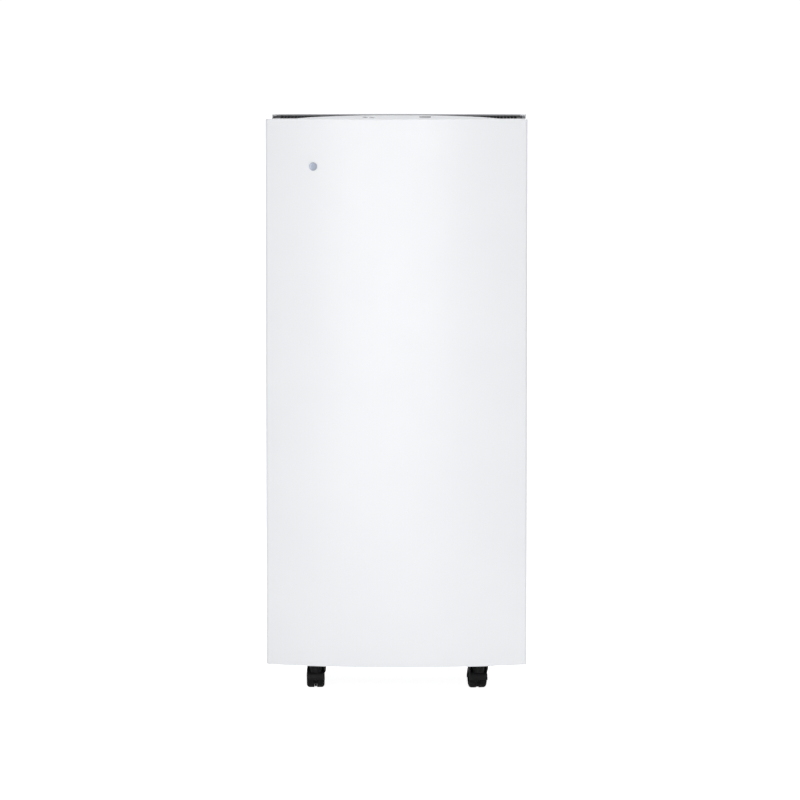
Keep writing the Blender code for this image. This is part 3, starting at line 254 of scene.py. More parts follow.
    def lacquer_ripple(self) -> Tree:
        """Sprayed and baked lacquer: a long shallow ripple, and the finest dust under it.

        Returns:
            The finished group.
        """
        ripple = self.noise(self.place, 1.0, 1.0)
        haze = self.noise(self.place, 0.03, 2.0)
        fine = self.noise(self.place, 8.0, 1.0)
        height = self.math("ADD", ripple, self.math("MULTIPLY", fine, 0.15))
        smear = self.noise(self.place, 0.2)
        return self.finish(self.sharpened(haze, 0.3, 0.7), self.sharpened(smear, 0.3, 0.7), height)

    def brushed_lines(self) -> Tree:
        """Drawn or brushed metal: fine lines along Z.

        Returns:
            The finished group.
        """
        lines = self.noise(self.stretched((1.0, 1.0, 0.02)), 1.0, 4.0)
        smudge = self.noise(self.place, 0.03)
        return self.finish(self.sharpened(lines, 0.3, 0.7), self.sharpened(smudge, 0.35, 0.65), lines)

    def zinc_spangle(self) -> Tree:
        """Hot-dipped zinc: flat crystals that each take the light their own way.

        Returns:
            The finished group.
        """
        crystals = self.cells(self.place, 1.0).outputs["Color"]
        tone = self.math("MULTIPLY", crystals, 1.0)
        frost = self.noise(self.place, 12.0)
        return self.finish(tone, self.sharpened(self.math("ADD", tone, frost), 0.4, 1.4), frost)

    def pressed_fibre(self) -> Tree:
        """Card, paper and felt: short fibres lying every way.

        Returns:
            The finished group.
        """
        along = self.noise(self.stretched((1.0, 1.0, 0.12)), 1.0, 5.0)
        across = self.noise(self.stretched((0.12, 1.0, 1.0)), 1.0, 5.0)
        fibres = self.math("MAXIMUM", along, across)
        return self.finish(self.sharpened(fibres, 0.4, 0.7), self.sharpened(fibres, 0.4, 0.7), fibres)

    def circuit_tracks(self) -> Tree:
        """A circuit board's face: copper lines that show faintly through its lacquer.

        Returns:
            The finished group.
        """
        grid = self.tree.nodes.new("ShaderNodeTexBrick")
        grid.inputs["Color1"].default_value = (0.0, 0.0, 0.0, 1.0)
        grid.inputs["Color2"].default_value = (0.35, 0.35, 0.35, 1.0)
        grid.inputs["Mortar"].default_value = (1.0, 1.0, 1.0, 1.0)
        grid.inputs["Mortar Size"].default_value = 0.06
        self.wire(self.place, grid.inputs["Vector"])
        self.wire(self.given.outputs["Scale"], grid.inputs["Scale"])
        tracks = self.math("MULTIPLY", grid.outputs["Color"], 1.0)
        return self.finish(tracks, self.noise(self.place, 4.0), tracks)


RECIPES: dict[Effect, Callable[[GroupMaker], Tree]] = {
    Effect.GRAIN: GroupMaker.moulded_grain,
    Effect.PEEL: GroupMaker.lacquer_ripple,
    Effect.BRUSHED: GroupMaker.brushed_lines,
    Effect.SPANGLE: GroupMaker.zinc_spangle,
    Effect.FIBRE: GroupMaker.pressed_fibre,
    Effect.TRACKS: GroupMaker.circuit_tracks,
}


def effect_group(effect: Effect) -> Tree:
    """The effect's node group, made when it is first asked for.

    Args:
        effect: Which one.

    Returns:
        The group.
    """
    found = bpy.data.node_groups.get(effect.value)
    return found or RECIPES[effect](GroupMaker(effect.value))


@dataclass(frozen=True)
class Finish:
    """One material: its effect, its tones and how it takes the light.

    Attributes:
        slot: The record's material slot, and the material's name.
        effect: The surface pattern.
        tones: The two colours that the pattern runs between.
        roughness: The lowest and the highest.
        scale: The pattern's scale, in cycles a metre.
        relief: The depth of the pattern in metres.
        settings: Values that are the same all over, by the shader's socket.
    """

    slot: str
    effect: Effect
    tones: tuple[Colour, Colour]
    roughness: tuple[float, float]
    scale: float
    relief: float
    settings: dict[str, float] = field(default_factory=dict)

    def material(self) -> bpy.types.Material:
        """The material, made when it is first asked for.

        Returns:
            The Blender material of the slot's name.
        """
        if self.slot in bpy.data.materials:
            found = bpy.data.materials[self.slot]
            if "purifier_finish" in found:
                return found
            found.name = f"plain_{self.slot}"
        made = bpy.data.materials.new(self.slot)
        made["purifier_finish"] = True
        made.use_nodes = True
        nodes, links = made.node_tree.nodes, made.node_tree.links
        shader = nodes["Principled BSDF"]
        for socket, value in self.settings.items():
            shader.inputs[socket].default_value = value
        pattern = nodes.new("ShaderNodeGroup")
        pattern.node_tree = effect_group(self.effect)
        for label, tone in zip(("Tone A", "Tone B"), self.tones):
            pattern.inputs[label].default_value = (*tone, 1.0)
        for label, value in zip(("Rough Low", "Rough High"), self.roughness):
            pattern.inputs[label].default_value = value
        pattern.inputs["Scale"].default_value = self.scale
        bump = nodes.new("ShaderNodeBump")
        bump.inputs["Strength"].default_value = 1.0
        bump.inputs["Distance"].default_value = self.relief
        links.new(pattern.outputs["Color"], shader.inputs["Base Color"])
        links.new(pattern.outputs["Roughness"], shader.inputs["Roughness"])
        links.new(pattern.outputs["Height"], bump.inputs["Height"])
        links.new(bump.outputs["Normal"], shader.inputs["Normal"])
        return made


FINISHES = {
    finish.slot: finish
    for finish in (
        Finish("door_white", Effect.PEEL, ((0.835, 0.845, 0.860), (0.855, 0.864, 0.878)),
               (0.32, 0.40), 150.0, 1.2e-5, {"Coat Weight": 0.2, "Coat Roughness": 0.22}),
        Finish("white_lacquer", Effect.PEEL, ((0.815, 0.825, 0.840), (0.830, 0.840, 0.855)),
               (0.36, 0.46), 420.0, 2.5e-5, {"Coat Weight": 0.15, "Coat Roughness": 0.25}),
        Finish("dark_plastic", Effect.GRAIN, ((0.010, 0.011, 0.013), (0.017, 0.018, 0.021)),
               (0.46, 0.62), 1500.0, 5e-5, {"Specular IOR Level": 0.28}),
        Finish("console_plastic", Effect.GRAIN, ((0.77, 0.78, 0.80), (0.79, 0.80, 0.82)),
               (0.34, 0.46), 1500.0, 2e-5),
        Finish("zinc_sheet", Effect.SPANGLE, ((0.24, 0.25, 0.27), (0.38, 0.39, 0.41)),
               (0.36, 0.56), 110.0, 6e-6, {"Metallic": 1.0}),
        Finish("steel", Effect.BRUSHED, ((0.46, 0.47, 0.49), (0.64, 0.65, 0.66)),
               (0.20, 0.34), 1100.0, 6e-6, {"Metallic": 1.0}),
        Finish("filter_card", Effect.FIBRE, ((0.70, 0.69, 0.64), (0.84, 0.83, 0.79)),
               (0.84, 0.96), 900.0, 4e-5),
        Finish("filter_paper", Effect.FIBRE, ((0.82, 0.82, 0.80), (0.93, 0.93, 0.92)),
               (0.90, 1.00), 1300.0, 6e-5, {"Sheen Weight": 0.2}),
        Finish("felt", Effect.FIBRE, ((0.055, 0.056, 0.060), (0.135, 0.136, 0.142)),
               (0.90, 1.00), 800.0, 2e-4, {"Sheen Weight": 0.4}),
        Finish("fan_plastic", Effect.GRAIN, ((0.040, 0.041, 0.045), (0.066, 0.067, 0.072)),
               (0.36, 0.52), 900.0, 4e-5),
        Finish("board_green", Effect.TRACKS, ((0.008, 0.090, 0.040), (0.035, 0.200, 0.095)),
               (0.30, 0.45), 260.0, 2e-5, {"Coat Weight": 0.4}),
        Finish("supply_case", Effect.GRAIN, ((0.38, 0.39, 0.41), (0.45, 0.46, 0.48)),
               (0.42, 0.58), 1300.0, 4e-5),
        Finish("badge_metal", Effect.BRUSHED, ((0.32, 0.355, 0.43), (0.40, 0.435, 0.51)),
               (0.30, 0.42), 1600.0, 4e-6, {"Metallic": 0.7}),
        Finish("castor_plastic", Effect.GRAIN, ((0.0020, 0.0020, 0.0026), (0.0048, 0.0048, 0.0060)),
               (0.42, 0.58), 1200.0, 4e-5, {"Specular IOR Level": 0.18}),
        Finish("smoked_window", Effect.PEEL, ((0.006, 0.006, 0.008), (0.012, 0.012, 0.016)),
               (0.50, 0.60), 300.0, 4e-6, {"Specular IOR Level": 0.12}),
    )
}


# ---- the workbench: selecting, shaping and dressing meshes -------------------------------------


def choose(*objs: Piece) -> Piece:
    """Selects these objects only, and makes the first one active.

    Args:
        objs: The objects.

    Returns:
        The first of them.
    """
    bpy.ops.object.select_all(action="DESELECT")
    for obj in objs:
        obj.select_set(True)
    bpy.context.view_layer.objects.active = objs[0]
    return objs[0]


class Editing:
    """Edit mode on one object, for as long as a with block lasts."""

    def __init__(self, obj: Piece) -> None:
        """Keeps the object to edit."""
        self.obj = obj

    def __enter__(self) -> "Editing":
        """Enters edit mode with everything selected.

        Returns:
            The session.
        """
        choose(self.obj)
        bpy.ops.object.mode_set(mode="EDIT")
        bpy.ops.mesh.select_mode(type="FACE")
        bpy.ops.mesh.select_all(action="SELECT")
        return self

    def __exit__(self, *problem: object) -> None:
        """Leaves edit mode."""
        bpy.ops.object.mode_set(mode="OBJECT")

    def pick(self, kind: str, test: Callable[[Vector, Vector], bool]) -> None:
        """Selects what stands at a place or faces a way.

        Args:
            kind: VERT, EDGE or FACE.
            test: Takes a middle and a direction, which is a face's or a point's normal or an
                edge's own direction, and says whether to select.
        """
        bpy.ops.mesh.select_mode(type=kind)
        bpy.ops.mesh.select_all(action="DESELECT")
        mesh = bmesh.from_edit_mesh(self.obj.data)
        if kind == "FACE":
            for face in mesh.faces:
                face.select_set(test(face.calc_center_median(), face.normal))
        elif kind == "EDGE":
            for edge in mesh.edges:
                first, second = (vert.co for vert in edge.verts)
                edge.select_set(test((first + second) / 2, (second - first).normalized()))
        else:
            for vert in mesh.verts:
                vert.select_set(test(vert.co, vert.normal))
        mesh.select_flush_mode()
        bmesh.update_edit_mesh(self.obj.data)

    def weld(self) -> None:
        """Merges the points of the whole mesh that lie on each other, and leaves it all selected."""
        bpy.ops.mesh.select_all(action="SELECT")
        bpy.ops.mesh.remove_doubles(threshold=MERGE)
        bpy.ops.mesh.select_all(action="SELECT")

    def open_inset(self, border: float) -> None:
        """Cuts an opening through a wall whose two faces are selected.

        Args:
            border: What is left standing round the opening.
        """
        bpy.ops.mesh.inset(thickness=border, depth=0)
        bpy.ops.mesh.delete(type="FACE")
        bpy.ops.mesh.select_mode(type="EDGE")
        bpy.ops.mesh.select_all(action="DESELECT")
        bpy.ops.mesh.select_non_manifold()
        bpy.ops.mesh.bridge_edge_loops()

    def move(self, by: Point) -> None:
        """Moves what is selected."""
        bpy.ops.transform.translate(value=by)

    def bisect(self, at: Point, away: Point) -> None:
        """Cuts the whole mesh by a plane, takes off what lies beyond it and closes the cut."""
        bpy.ops.mesh.select_all(action="SELECT")
        bpy.ops.mesh.bisect(plane_co=at, plane_no=away, use_fill=True, clear_outer=True)


def quarter(steps: int) -> Profile:
    """The places along a quarter turn.

    Args:
        steps: How many equal steps it is cut into.

    Returns:
        The sine and cosine at each place, from 0 to a right angle.
    """
    angles = [math.pi / 2 * step / steps for step in range(steps + 1)]
    return [(math.sin(angle), math.cos(angle)) for angle in angles]


def settled(obj: Piece) -> Piece:
    """Moves a piece's place, turn and size into its mesh.

    Args:
        obj: The piece.

    Returns:
        The piece, selected alone.
    """
    choose(obj)
    bpy.ops.object.transform_apply(location=True, rotation=True, scale=True)
    return obj


def apply_modifier(obj: Piece, kind: str, **settings: object) -> None:
    """Adds a modifier, sets it and applies it.

    Args:
        obj: The object.
        kind: The modifier's type.
        settings: Its settings, by their names.
    """
    modifier = obj.modifiers.new(kind.title(), kind)
    for name, value in settings.items():
        setattr(modifier, name, value)
    choose(obj)
    bpy.ops.object.modifier_apply(modifier=modifier.name)


def ease(obj: Piece, width: float, segments: int = 2, angle: float = 30.0) -> Piece:
    """Rounds a piece's edges and shades it, with its flat faces kept flat.

    Args:
        obj: The piece.
        width: How far from an edge the rounding starts.
        segments: Faces across the rounding.
        angle: The least angle, in degrees, of an edge that is rounded.

    Returns:
        The piece.
    """
    if width:
        apply_modifier(obj, "BEVEL", width=width, segments=segments, limit_method="ANGLE",
                       angle_limit=math.radians(angle), use_clamp_overlap=True)
    choose(obj)
    bpy.ops.object.shade_smooth_by_angle(angle=math.radians(angle + 10.0))
    apply_modifier(obj, "WEIGHTED_NORMAL", keep_sharp=True)
    return obj


def block(low: Iterable[float], high: Iterable[float], width: float = 0.0, segments: int = 2) -> Piece:
    """A box between two corners, with its edges rounded where a width is given.

    Args:
        low: One corner.
        high: The opposite corner.
        width: The rounding of its edges.
        segments: Faces across the rounding.

    Returns:
        The new object.
    """
    low, high = Vector(low), Vector(high)
    size = Vector([abs(value) for value in high - low])
    bpy.ops.mesh.primitive_cube_add(size=1.0, location=(low + high) / 2, scale=size)
    obj = settled(bpy.context.object)
    if width:
        apply_modifier(obj, "BEVEL", width=width, segments=segments)
    return obj


def drum(centre: Iterable[float], axis: Axis, radius: float, length: float, sides: int = 48) -> Piece:
    """A closed cylinder about a point.

    Args:
        centre: Its middle.
        axis: The way its axis runs.
        radius: Its radius.
        length: Its length.
        sides: How many sides it has.

    Returns:
        The new object.
    """
    bpy.ops.mesh.primitive_cylinder_add(vertices=sides, radius=radius, depth=length, location=Vector(centre),
                                        rotation=axis.value)
    return settled(bpy.context.object)


def lathe(centre: Iterable[float], axis: Iterable[float], profile: Profile, sides: int = 64,
          closed: bool = False) -> Piece:
    """A profile drawn point by point and spun about an axis.

    Args:
        centre: The point on the axis that heights are measured from.
        axis: The way the axis runs.
        profile: (radius, height) points.
        sides: Steps of the spin.
        closed: Whether the profile's last point joins its first, as a ring's does.

    Returns:
        The new object.
    """
    centre, axis = Vector(centre), Vector(axis).normalized()
    out = axis.orthogonal().normalized()
    points = [centre + out * radius + axis * height for radius, height in profile]
    points += points[:1] if closed else []
    bpy.ops.mesh.primitive_plane_add(size=0.01, location=points[0])
    obj = settled(bpy.context.object)
    with Editing(obj) as edit:
        bpy.ops.mesh.select_mode(type="VERT")
        bpy.ops.mesh.merge(type="CENTER")
        for before, after in zip(points, points[1:]):
            bpy.ops.mesh.extrude_region_move(TRANSFORM_OT_translate={"value": after - before})
        edit.weld()
        bpy.ops.mesh.spin(steps=sides, angle=2 * math.pi, center=centre, axis=axis)
        edit.weld()
        bpy.ops.mesh.normals_make_consistent(inside=False)
    return obj


def carve(obj: Piece, *cutters: Piece, operation: str = "DIFFERENCE") -> Piece:
    """Takes the cutters' shapes out of a piece, or adds them to it.

    Args:
        obj: The piece.
        cutters: The helpers, which are removed.
        operation: DIFFERENCE or UNION.

    Returns:
        The piece.
    """
    for cutter in cutters:
        apply_modifier(obj, "BOOLEAN", object=cutter, operation=operation, solver="EXACT")
        bpy.data.objects.remove(cutter)
    return obj


def joined(first: Piece, *others: Piece) -> Piece:
    """Puts several meshes into the first one's object.

    Args:
        first: The object that keeps them.
        others: The objects that it takes in.

    Returns:
        The first object.
    """
    choose(first, *others)
    bpy.ops.object.join()
    return first


def repeat(obj: Piece, count: int, step: Point) -> Piece:
    """Copies a piece in a row inside its own mesh.

    Args:
        obj: The piece.
        count: How many there are, with the first.
        step: From one to the next.

    Returns:
        The piece.
    """
    apply_modifier(obj, "ARRAY", count=count, use_relative_offset=False, use_constant_offset=True,
                   constant_offset_displace=step)
    return obj


def turn(obj: Piece, angle: float, about: Iterable[float] = (0, 0, 0), axis: str = "Z") -> Piece:
    """Turns a piece about a line through a point.

    Args:
        obj: The piece.
        angle: How far, in radians, anticlockwise as seen against the axis.
        about: The point.
        axis: X, Y or Z.

    Returns:
        The piece, with the turn in its mesh.
    """
    place = Matrix.Translation(Vector(about))
    obj.matrix_world = place @ Matrix.Rotation(angle, 4, axis) @ place.inverted() @ obj.matrix_world
    return settled(obj)


def frame_copy(node: str) -> Piece:
    """A copy of a frame node's mesh, welded and freed of the lines across its flat faces.

    Args:
        node: The node's name.

    Returns:
        The new object.
    """
    obj = bpy.data.objects.new(f"{node}_copy", frame["nodes"][node].data.copy())
    bpy.context.scene.collection.objects.link(obj)
    obj.data.materials.clear()
    with Editing(obj) as edit:
        bpy.ops.mesh.select_mode(type="VERT")
        edit.weld()
        bpy.ops.mesh.dissolve_limited(angle_limit=FLAT)
    return obj


def dress(obj: Piece, name: str, body: str, slot: str, *nodes: str) -> Piece:
    """Names a finished piece, gives it its finish and hangs it on its body.

    Args:
        obj: The piece.
        name: Its name.
        body: The body that it moves with.
        slot: The material slot that its finish comes from.
        nodes: The frame's nodes that it stands for.

    Returns:
        The piece.
    """
    obj.name = obj.data.name = name
    obj.data.materials.clear()
    obj.data.materials.append(FINISHES[slot].material())
    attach(obj, body)
    if nodes:
        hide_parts(*nodes)
    LOG.info("%s: %d faces, on %s", name, len(obj.data.polygons), body)
    return obj


def dress_node(node: str, slot: str) -> None:
    """Gives a frame node that stays as it is its finish.

    Args:
        node: The node's name.
        slot: The material slot of its finish.
    """
    for holder in frame["nodes"][node].material_slots:
        holder.material = FINISHES[slot].material()
    LOG.info("%s: kept, in %s", node, slot)


def eased_node(node: str, slot: str, width: float, segments: int = 2, body: str = "cabinet") -> Piece:
    """Stands a copy of a node in for it, with its edges rounded.

    Args:
        node: The node's name.
        slot: The material slot of its finish.
        width: The rounding of its edges.
        segments: Faces across the rounding.
        body: The body that it moves with.

    Returns:
        The new piece.
    """
    return dress(ease(frame_copy(node), width, segments), f"{node}_body", body, slot, node)


def joint(name: str) -> tuple[Vector, Vector]:
    """A joint's point and axis.

    Args:
        name: The joint's name.

    Returns:
        A point on the axis, and the axis.
    """
    found = next(item for item in frame["joints"] if item["name"] == name)
    return Vector(found["pos_m"]), Vector(found["axis"])


# ---- the doors ---------------------------------------------------------------------------------


@dataclass
class Door:
    """One bowed door: its shell with hinge lugs and a catch boss, its rod and its brackets.

    Attributes:
        side: The half of the cabinet that it closes.
        bow: How far the middle of its face stands in front of its edges.
        wall: The shell's thickness.
        corner: The radius of its upright corners.
        rim: The radius of its top and bottom edges.
        facet: The turn from one strip of its face to the next.
        lug: The height of a hinge lug, and half its width round the rod.
        gap: The clearance between a lug and a bracket, and behind the boss.
    """

    side: Side
    bow: float = 0.045
    wall: float = 0.0025
    corner: float = 0.006
    rim: float = 0.0016
    facet: float = math.radians(0.5)
    lug: tuple[float, float] = (0.010, 0.00625)
    gap: float = 0.0006

    def shell(self) -> Piece:
        """The door's skin: a slice of a wide cylinder, hollowed from behind.

        Returns:
            The shell, at the front.
        """
        low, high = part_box("front_door")
        half, back, height = high.x, high.y, high.z - low.z
        edge = low.y + self.bow
        radius = (half**2 + self.bow**2) / (2 * self.bow)
        skin = drum((0, low.y + radius, low.z + height / 2), Axis.Z, radius, height,
                    sides=round(2 * math.pi / self.facet))
        reach = MERGE
        with Editing(skin) as edit:
            edit.bisect((half, 0, 0), (1, 0, 0))
            edit.bisect((-half, 0, 0), (-1, 0, 0))
            edit.bisect((0, back, 0), (0, 1, 0))
            edit.pick("EDGE", lambda at, way: abs(way.z) > 0.9 and abs(at.y - edge) < self.corner
                      and abs(at.x) > half - reach)
            bpy.ops.mesh.bevel(offset=self.corner, segments=6, affect="EDGES")
            edit.pick("EDGE", lambda at, way: abs(way.z) < 0.1 and at.y < back - reach
                      and min(abs(at.z - low.z), abs(at.z - high.z)) < reach)
            bpy.ops.mesh.bevel(offset=self.rim, segments=4, affect="EDGES")
            edit.pick("FACE", lambda at, way: way.y > 0.9 and abs(at.y - back) < reach)
            bpy.ops.mesh.delete(type="FACE")
        apply_modifier(skin, "SOLIDIFY", thickness=self.wall, offset=-1.0, use_even_offset=True)
        return ease(skin, 0.0003, 1)

    def furniture(self) -> list[Piece]:
        """The hinge lugs beside the brackets, and the boss that meets the magnet.

        Returns:
            The rounded blocks, at the front.
        """
        low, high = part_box("front_door")
        rod_low, rod_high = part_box("front_hinge_rod")
        rod = (rod_low + rod_high) / 2
        height, reach = self.lug
        blocks = []
        for level in ("lower", "upper"):
            foot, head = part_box(f"front_{level}_hinge_bracket")
            for bottom in (foot.z - self.gap - height, head.z + self.gap):
                blocks.append(block((low.x + self.wall / 2, rod.y - reach, bottom),
                                    (rod.x + reach, rod.y + reach, bottom + height), 0.0012, 3))
        near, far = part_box("front_catch_magnet")
        third = (far.z - near.z) / 6
        blocks.append(block((near.x, low.y + self.bow, near.z + third),
                            (high.x - self.wall / 2, near.y - self.gap / 2, far.z - third), 0.001, 3))
        return blocks

    def rod(self) -> Piece:
        """The hinge rod, with rounded ends.

        Returns:
            The rod, at the front.
        """
        low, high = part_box("front_hinge_rod")
        middle, radius = (low + high) / 2, (high.x - low.x) / 2
        return ease(drum(middle, Axis.Z, radius, high.z - low.z, 32), radius / 3, 3)

    def build(self) -> None:
        """Makes and hangs the door."""
        word = self.side.word
        body = f"{word}_door"
        skin = joined(self.shell(), *self.furniture())
        dress(turn(skin, self.side.value), f"{word}_door_shell", body, "door_white", f"{word}_door")
        dress(turn(self.rod(), self.side.value), f"{word}_hinge_pin", body, "steel", f"{word}_hinge_rod")
        dress_node(f"{word}_door_liner", "felt")
        for level in ("lower", "upper"):
            eased_node(f"{word}_{level}_hinge_bracket", "steel", 0.0003)
        eased_node(f"{word}_catch_magnet", "dark_plastic", 0.0008, 3)


@dataclass
class Badge:
    """The small round badge, with a raised rim, square to the bowed door.

    Attributes:
        rim: The width of its rim.
        dish: How far its face lies below its rim.
    """

    rim: float = 0.0009
    dish: float = 0.0003

    def build(self) -> None:
        """Makes the badge at its place on the door."""
        low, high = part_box("front_badge")
        radius = (high.z - low.z) / 2
        centre = (low + high) / 2
        bow = Door(Side.FRONT).bow
        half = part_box("front_door")[1].x
        sweep = math.asin(centre.x / ((half**2 + bow**2) / (2 * bow)))
        out = Vector((math.sin(sweep), -math.cos(sweep), 0.0))
        thickness = ((high.x - low.x) - 2 * radius * math.cos(sweep)) / abs(math.sin(sweep))
        front, back = thickness / 2, -thickness / 2
        inner = radius - self.rim
        profile = [(0, front - self.dish), (inner * 0.6, front - self.dish * 0.9),
                   (inner, front - self.dish * 0.7),
                   (inner + self.rim * 0.3, front), (radius - self.rim * 0.35, front),
                   (radius - self.rim * 0.08, front - self.dish * 0.5), (radius, front - self.dish * 1.5),
                   (radius, back), (0, back)]
        badge = ease(lathe(centre, out, profile, 96), 0.0)
        dress(badge, "front_badge_disc", "front_door", "badge_metal", "front_badge")


# ---- the cabinet -------------------------------------------------------------------------------


@dataclass
class IntakeGrille:
    """A corner strip with its ladder of air louvres.

    Attributes:
        corner: The corner that it stands at.
        wall: The strip's thickness.
        border: Plain material round the louvres.
        pitch: From one louvre to the next.
        blade: A louvre's depth and thickness.
        lean: How far a louvre leans down and out.
        ribs: How many broad cross ribs it has.
    """

    corner: str
    wall: float = 0.0025
    border: float = 0.0035
    pitch: float = 0.0075
    blade: tuple[float, float] = (0.0085, 0.0014)
    lean: float = math.radians(32.0)
    ribs: int = 3

    def build(self) -> None:
        """Makes the strip at its corner."""
        low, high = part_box(f"{self.corner}_intake_grille")
        right, front = high.x > 0, low.y < 0
        out_x, in_x = (high.x, low.x) if right else (low.x, high.x)
        face_y, back_y = (low.y, high.y) if front else (high.y, low.y)
        inward, rearward = (-1 if right else 1), (1 if front else -1)
        jamb = block((in_x, face_y, low.z), (out_x, face_y + rearward * self.wall, high.z))
        cheek = block((out_x + inward * self.wall, face_y + rearward * self.wall, low.z),
                      (out_x, back_y, high.z))
        with Editing(cheek) as edit:
            edit.pick("FACE", lambda at, way: abs(way.x) > 0.9)
            edit.open_inset(self.border)
        depth, thick = self.blade
        first, last = (face_y + rearward * (self.wall + self.border - self.wall / 8),
                       back_y - rearward * (self.border - self.wall / 8))
        span = high.z - low.z - 2 * self.border
        count = int(span / self.pitch)
        start = low.z + self.border + (span - (count - 1) * self.pitch) / 2
        blade = block((out_x + inward * depth, min(first, last), start - thick / 2),
                      (out_x + inward * self.wall / 8, max(first, last), start + thick / 2), thick / 3, 1)
        pivot = (out_x + inward * self.wall / 8, 0, start)
        blade = turn(blade, inward * self.lean, pivot, "Y")
        blade = repeat(blade, count, (0, 0, self.pitch))
        rib = block((out_x + inward * self.wall, min(first, last), low.z),
                    (out_x, max(first, last), low.z + 2 * self.border), 0.0004, 2)
        step = span / (self.ribs + 1)
        rib.data.transform(Matrix.Translation((0, 0, step)))
        rib = repeat(rib, self.ribs, (0, 0, step))
        strip = ease(joined(jamb, cheek), 0.0004, 2)
        dress(joined(strip, blade, rib), f"{self.corner}_louvre_strip", "cabinet", "dark_plastic",
              f"{self.corner}_intake_grille")


@dataclass
class FilterPack:
    """One filter: its card frame, its pleated pack and the ribbons that space the pleats.

    Attributes:
        side: The half of the cabinet that it is in.
        level: lower or upper.
        folds: How many folds the pack has.
        sheet: The thickness of the paper.
        ribbon: The ribbon's thickness and height.
        ribbons: How many ribbons cross each face.
    """

    side: Side
    level: str
    folds: int = 84
    sheet: float = 0.0006
    ribbon: tuple[float, float] = (0.0008, 0.0030)
    ribbons: int = 4

    def build(self) -> None:
        """Makes the pack in its frame."""
        name = f"{self.side.word}_{self.level}_filter"
        low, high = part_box(f"{name}_pleats")
        outer_low, outer_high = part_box(f"{name}_frame")
        centre = (low + high) / 2
        bpy.ops.mesh.primitive_grid_add(x_subdivisions=2 * self.folds, y_subdivisions=1, size=1.0,
                                        location=centre, rotation=(math.pi / 2, 0, 0))
        pack = bpy.context.object
        pack.scale = (high.x - low.x - self.sheet, high.z - low.z, 1.0)
        settled(pack)
        column = (high.x - low.x - self.sheet) / (2 * self.folds)
        depth = high.y - low.y - 2 * self.sheet
        with Editing(pack) as edit:
            edit.move((0, -depth / 2, 0))
            edit.pick("VERT", lambda at, way: round((at.x - low.x - self.sheet / 2) / column) % 2 == 1)
            edit.move((0, depth, 0))
        apply_modifier(pack, "SOLIDIFY", thickness=self.sheet, offset=0.0)
        ribbons = []
        thick, tall = self.ribbon
        for number in range(self.ribbons):
            z = low.z + (high.z - low.z) * (number + 0.5) / self.ribbons
            for y in (low.y, high.y - thick):
                ends = (low.x, y, z - tall / 2), (high.x, y + thick, z + tall / 2)
                ribbons.append(block(*ends, thick / 3, 1))
        pack = ease(joined(pack, *ribbons), 0.0, angle=20.0)
        dress(pack, f"{name}_folds", "cabinet", "filter_paper", f"{name}_pleats")
        case = ease(frame_copy(f"{name}_frame"), 0.0012, 3)
        tape = self.tape(outer_low, outer_high)
        dress(joined(case, *tape), f"{name}_case", "cabinet", "filter_card", f"{name}_frame")

    def tape(self, low: Vector, high: Vector) -> list[Piece]:
        """The two pull tabs folded against the frame's face.

        Args:
            low: The frame's lowest corner.
            high: Its highest.

        Returns:
            The tabs.
        """
        width, tall, thick = 0.030, 0.009, 0.0005
        face = low.y if low.y < 0 else high.y
        out = -thick if low.y < 0 else thick
        tabs = []
        for across in (-0.5, 0.5):
            x = high.x * across
            tabs.append(block((x - width / 2, min(face, face + out), high.z - 1.4 * tall),
                              (x + width / 2, max(face, face + out), high.z - 0.3 * tall), thick / 4, 1))
        return tabs


# ---- the top -----------------------------------------------------------------------------------


@dataclass
class Arch:
    """The plan of the console: a straight front edge and a broad rounded back.

    Attributes:
        half_width: Half its width.
        front: Where its straight edge is.
        depth: How far back it reaches.
        roundness: 2 is an ellipse, and more is squarer.
        sides: Points round the plan.
    """

    half_width: float
    front: float
    depth: float
    roundness: float = 2.4
    sides: int = 144

    def back(self, x: float) -> float:
        """How far back the arch reaches at a place across it.

        Args:
            x: The place across.

        Returns:
            The Y of its edge.
        """
        share = min(abs(x) / self.half_width, 1.0)
        return self.front + self.depth * (1 - share**self.roundness) ** (1 / self.roundness)

    def sheet(self, z: float) -> Piece:
        """The flat plan, filled.

        Args:
            z: Its height.

        Returns:
            A mesh of one face that looks up.
        """
        bpy.ops.mesh.primitive_circle_add(vertices=self.sides, radius=1.0, fill_type="NGON",
                                          location=(0, 0, 0))
        plan = bpy.context.object
        power = 2 / self.roundness
        for vert in plan.data.vertices:
            cosine, sine = vert.co.x, vert.co.y
            x = math.copysign(abs(cosine) ** power, cosine) if sine > 0 else cosine
            y = self.depth * sine**power if sine > 0 else 0.0
            vert.co = (x * self.half_width, self.front + y, z)
        return plan


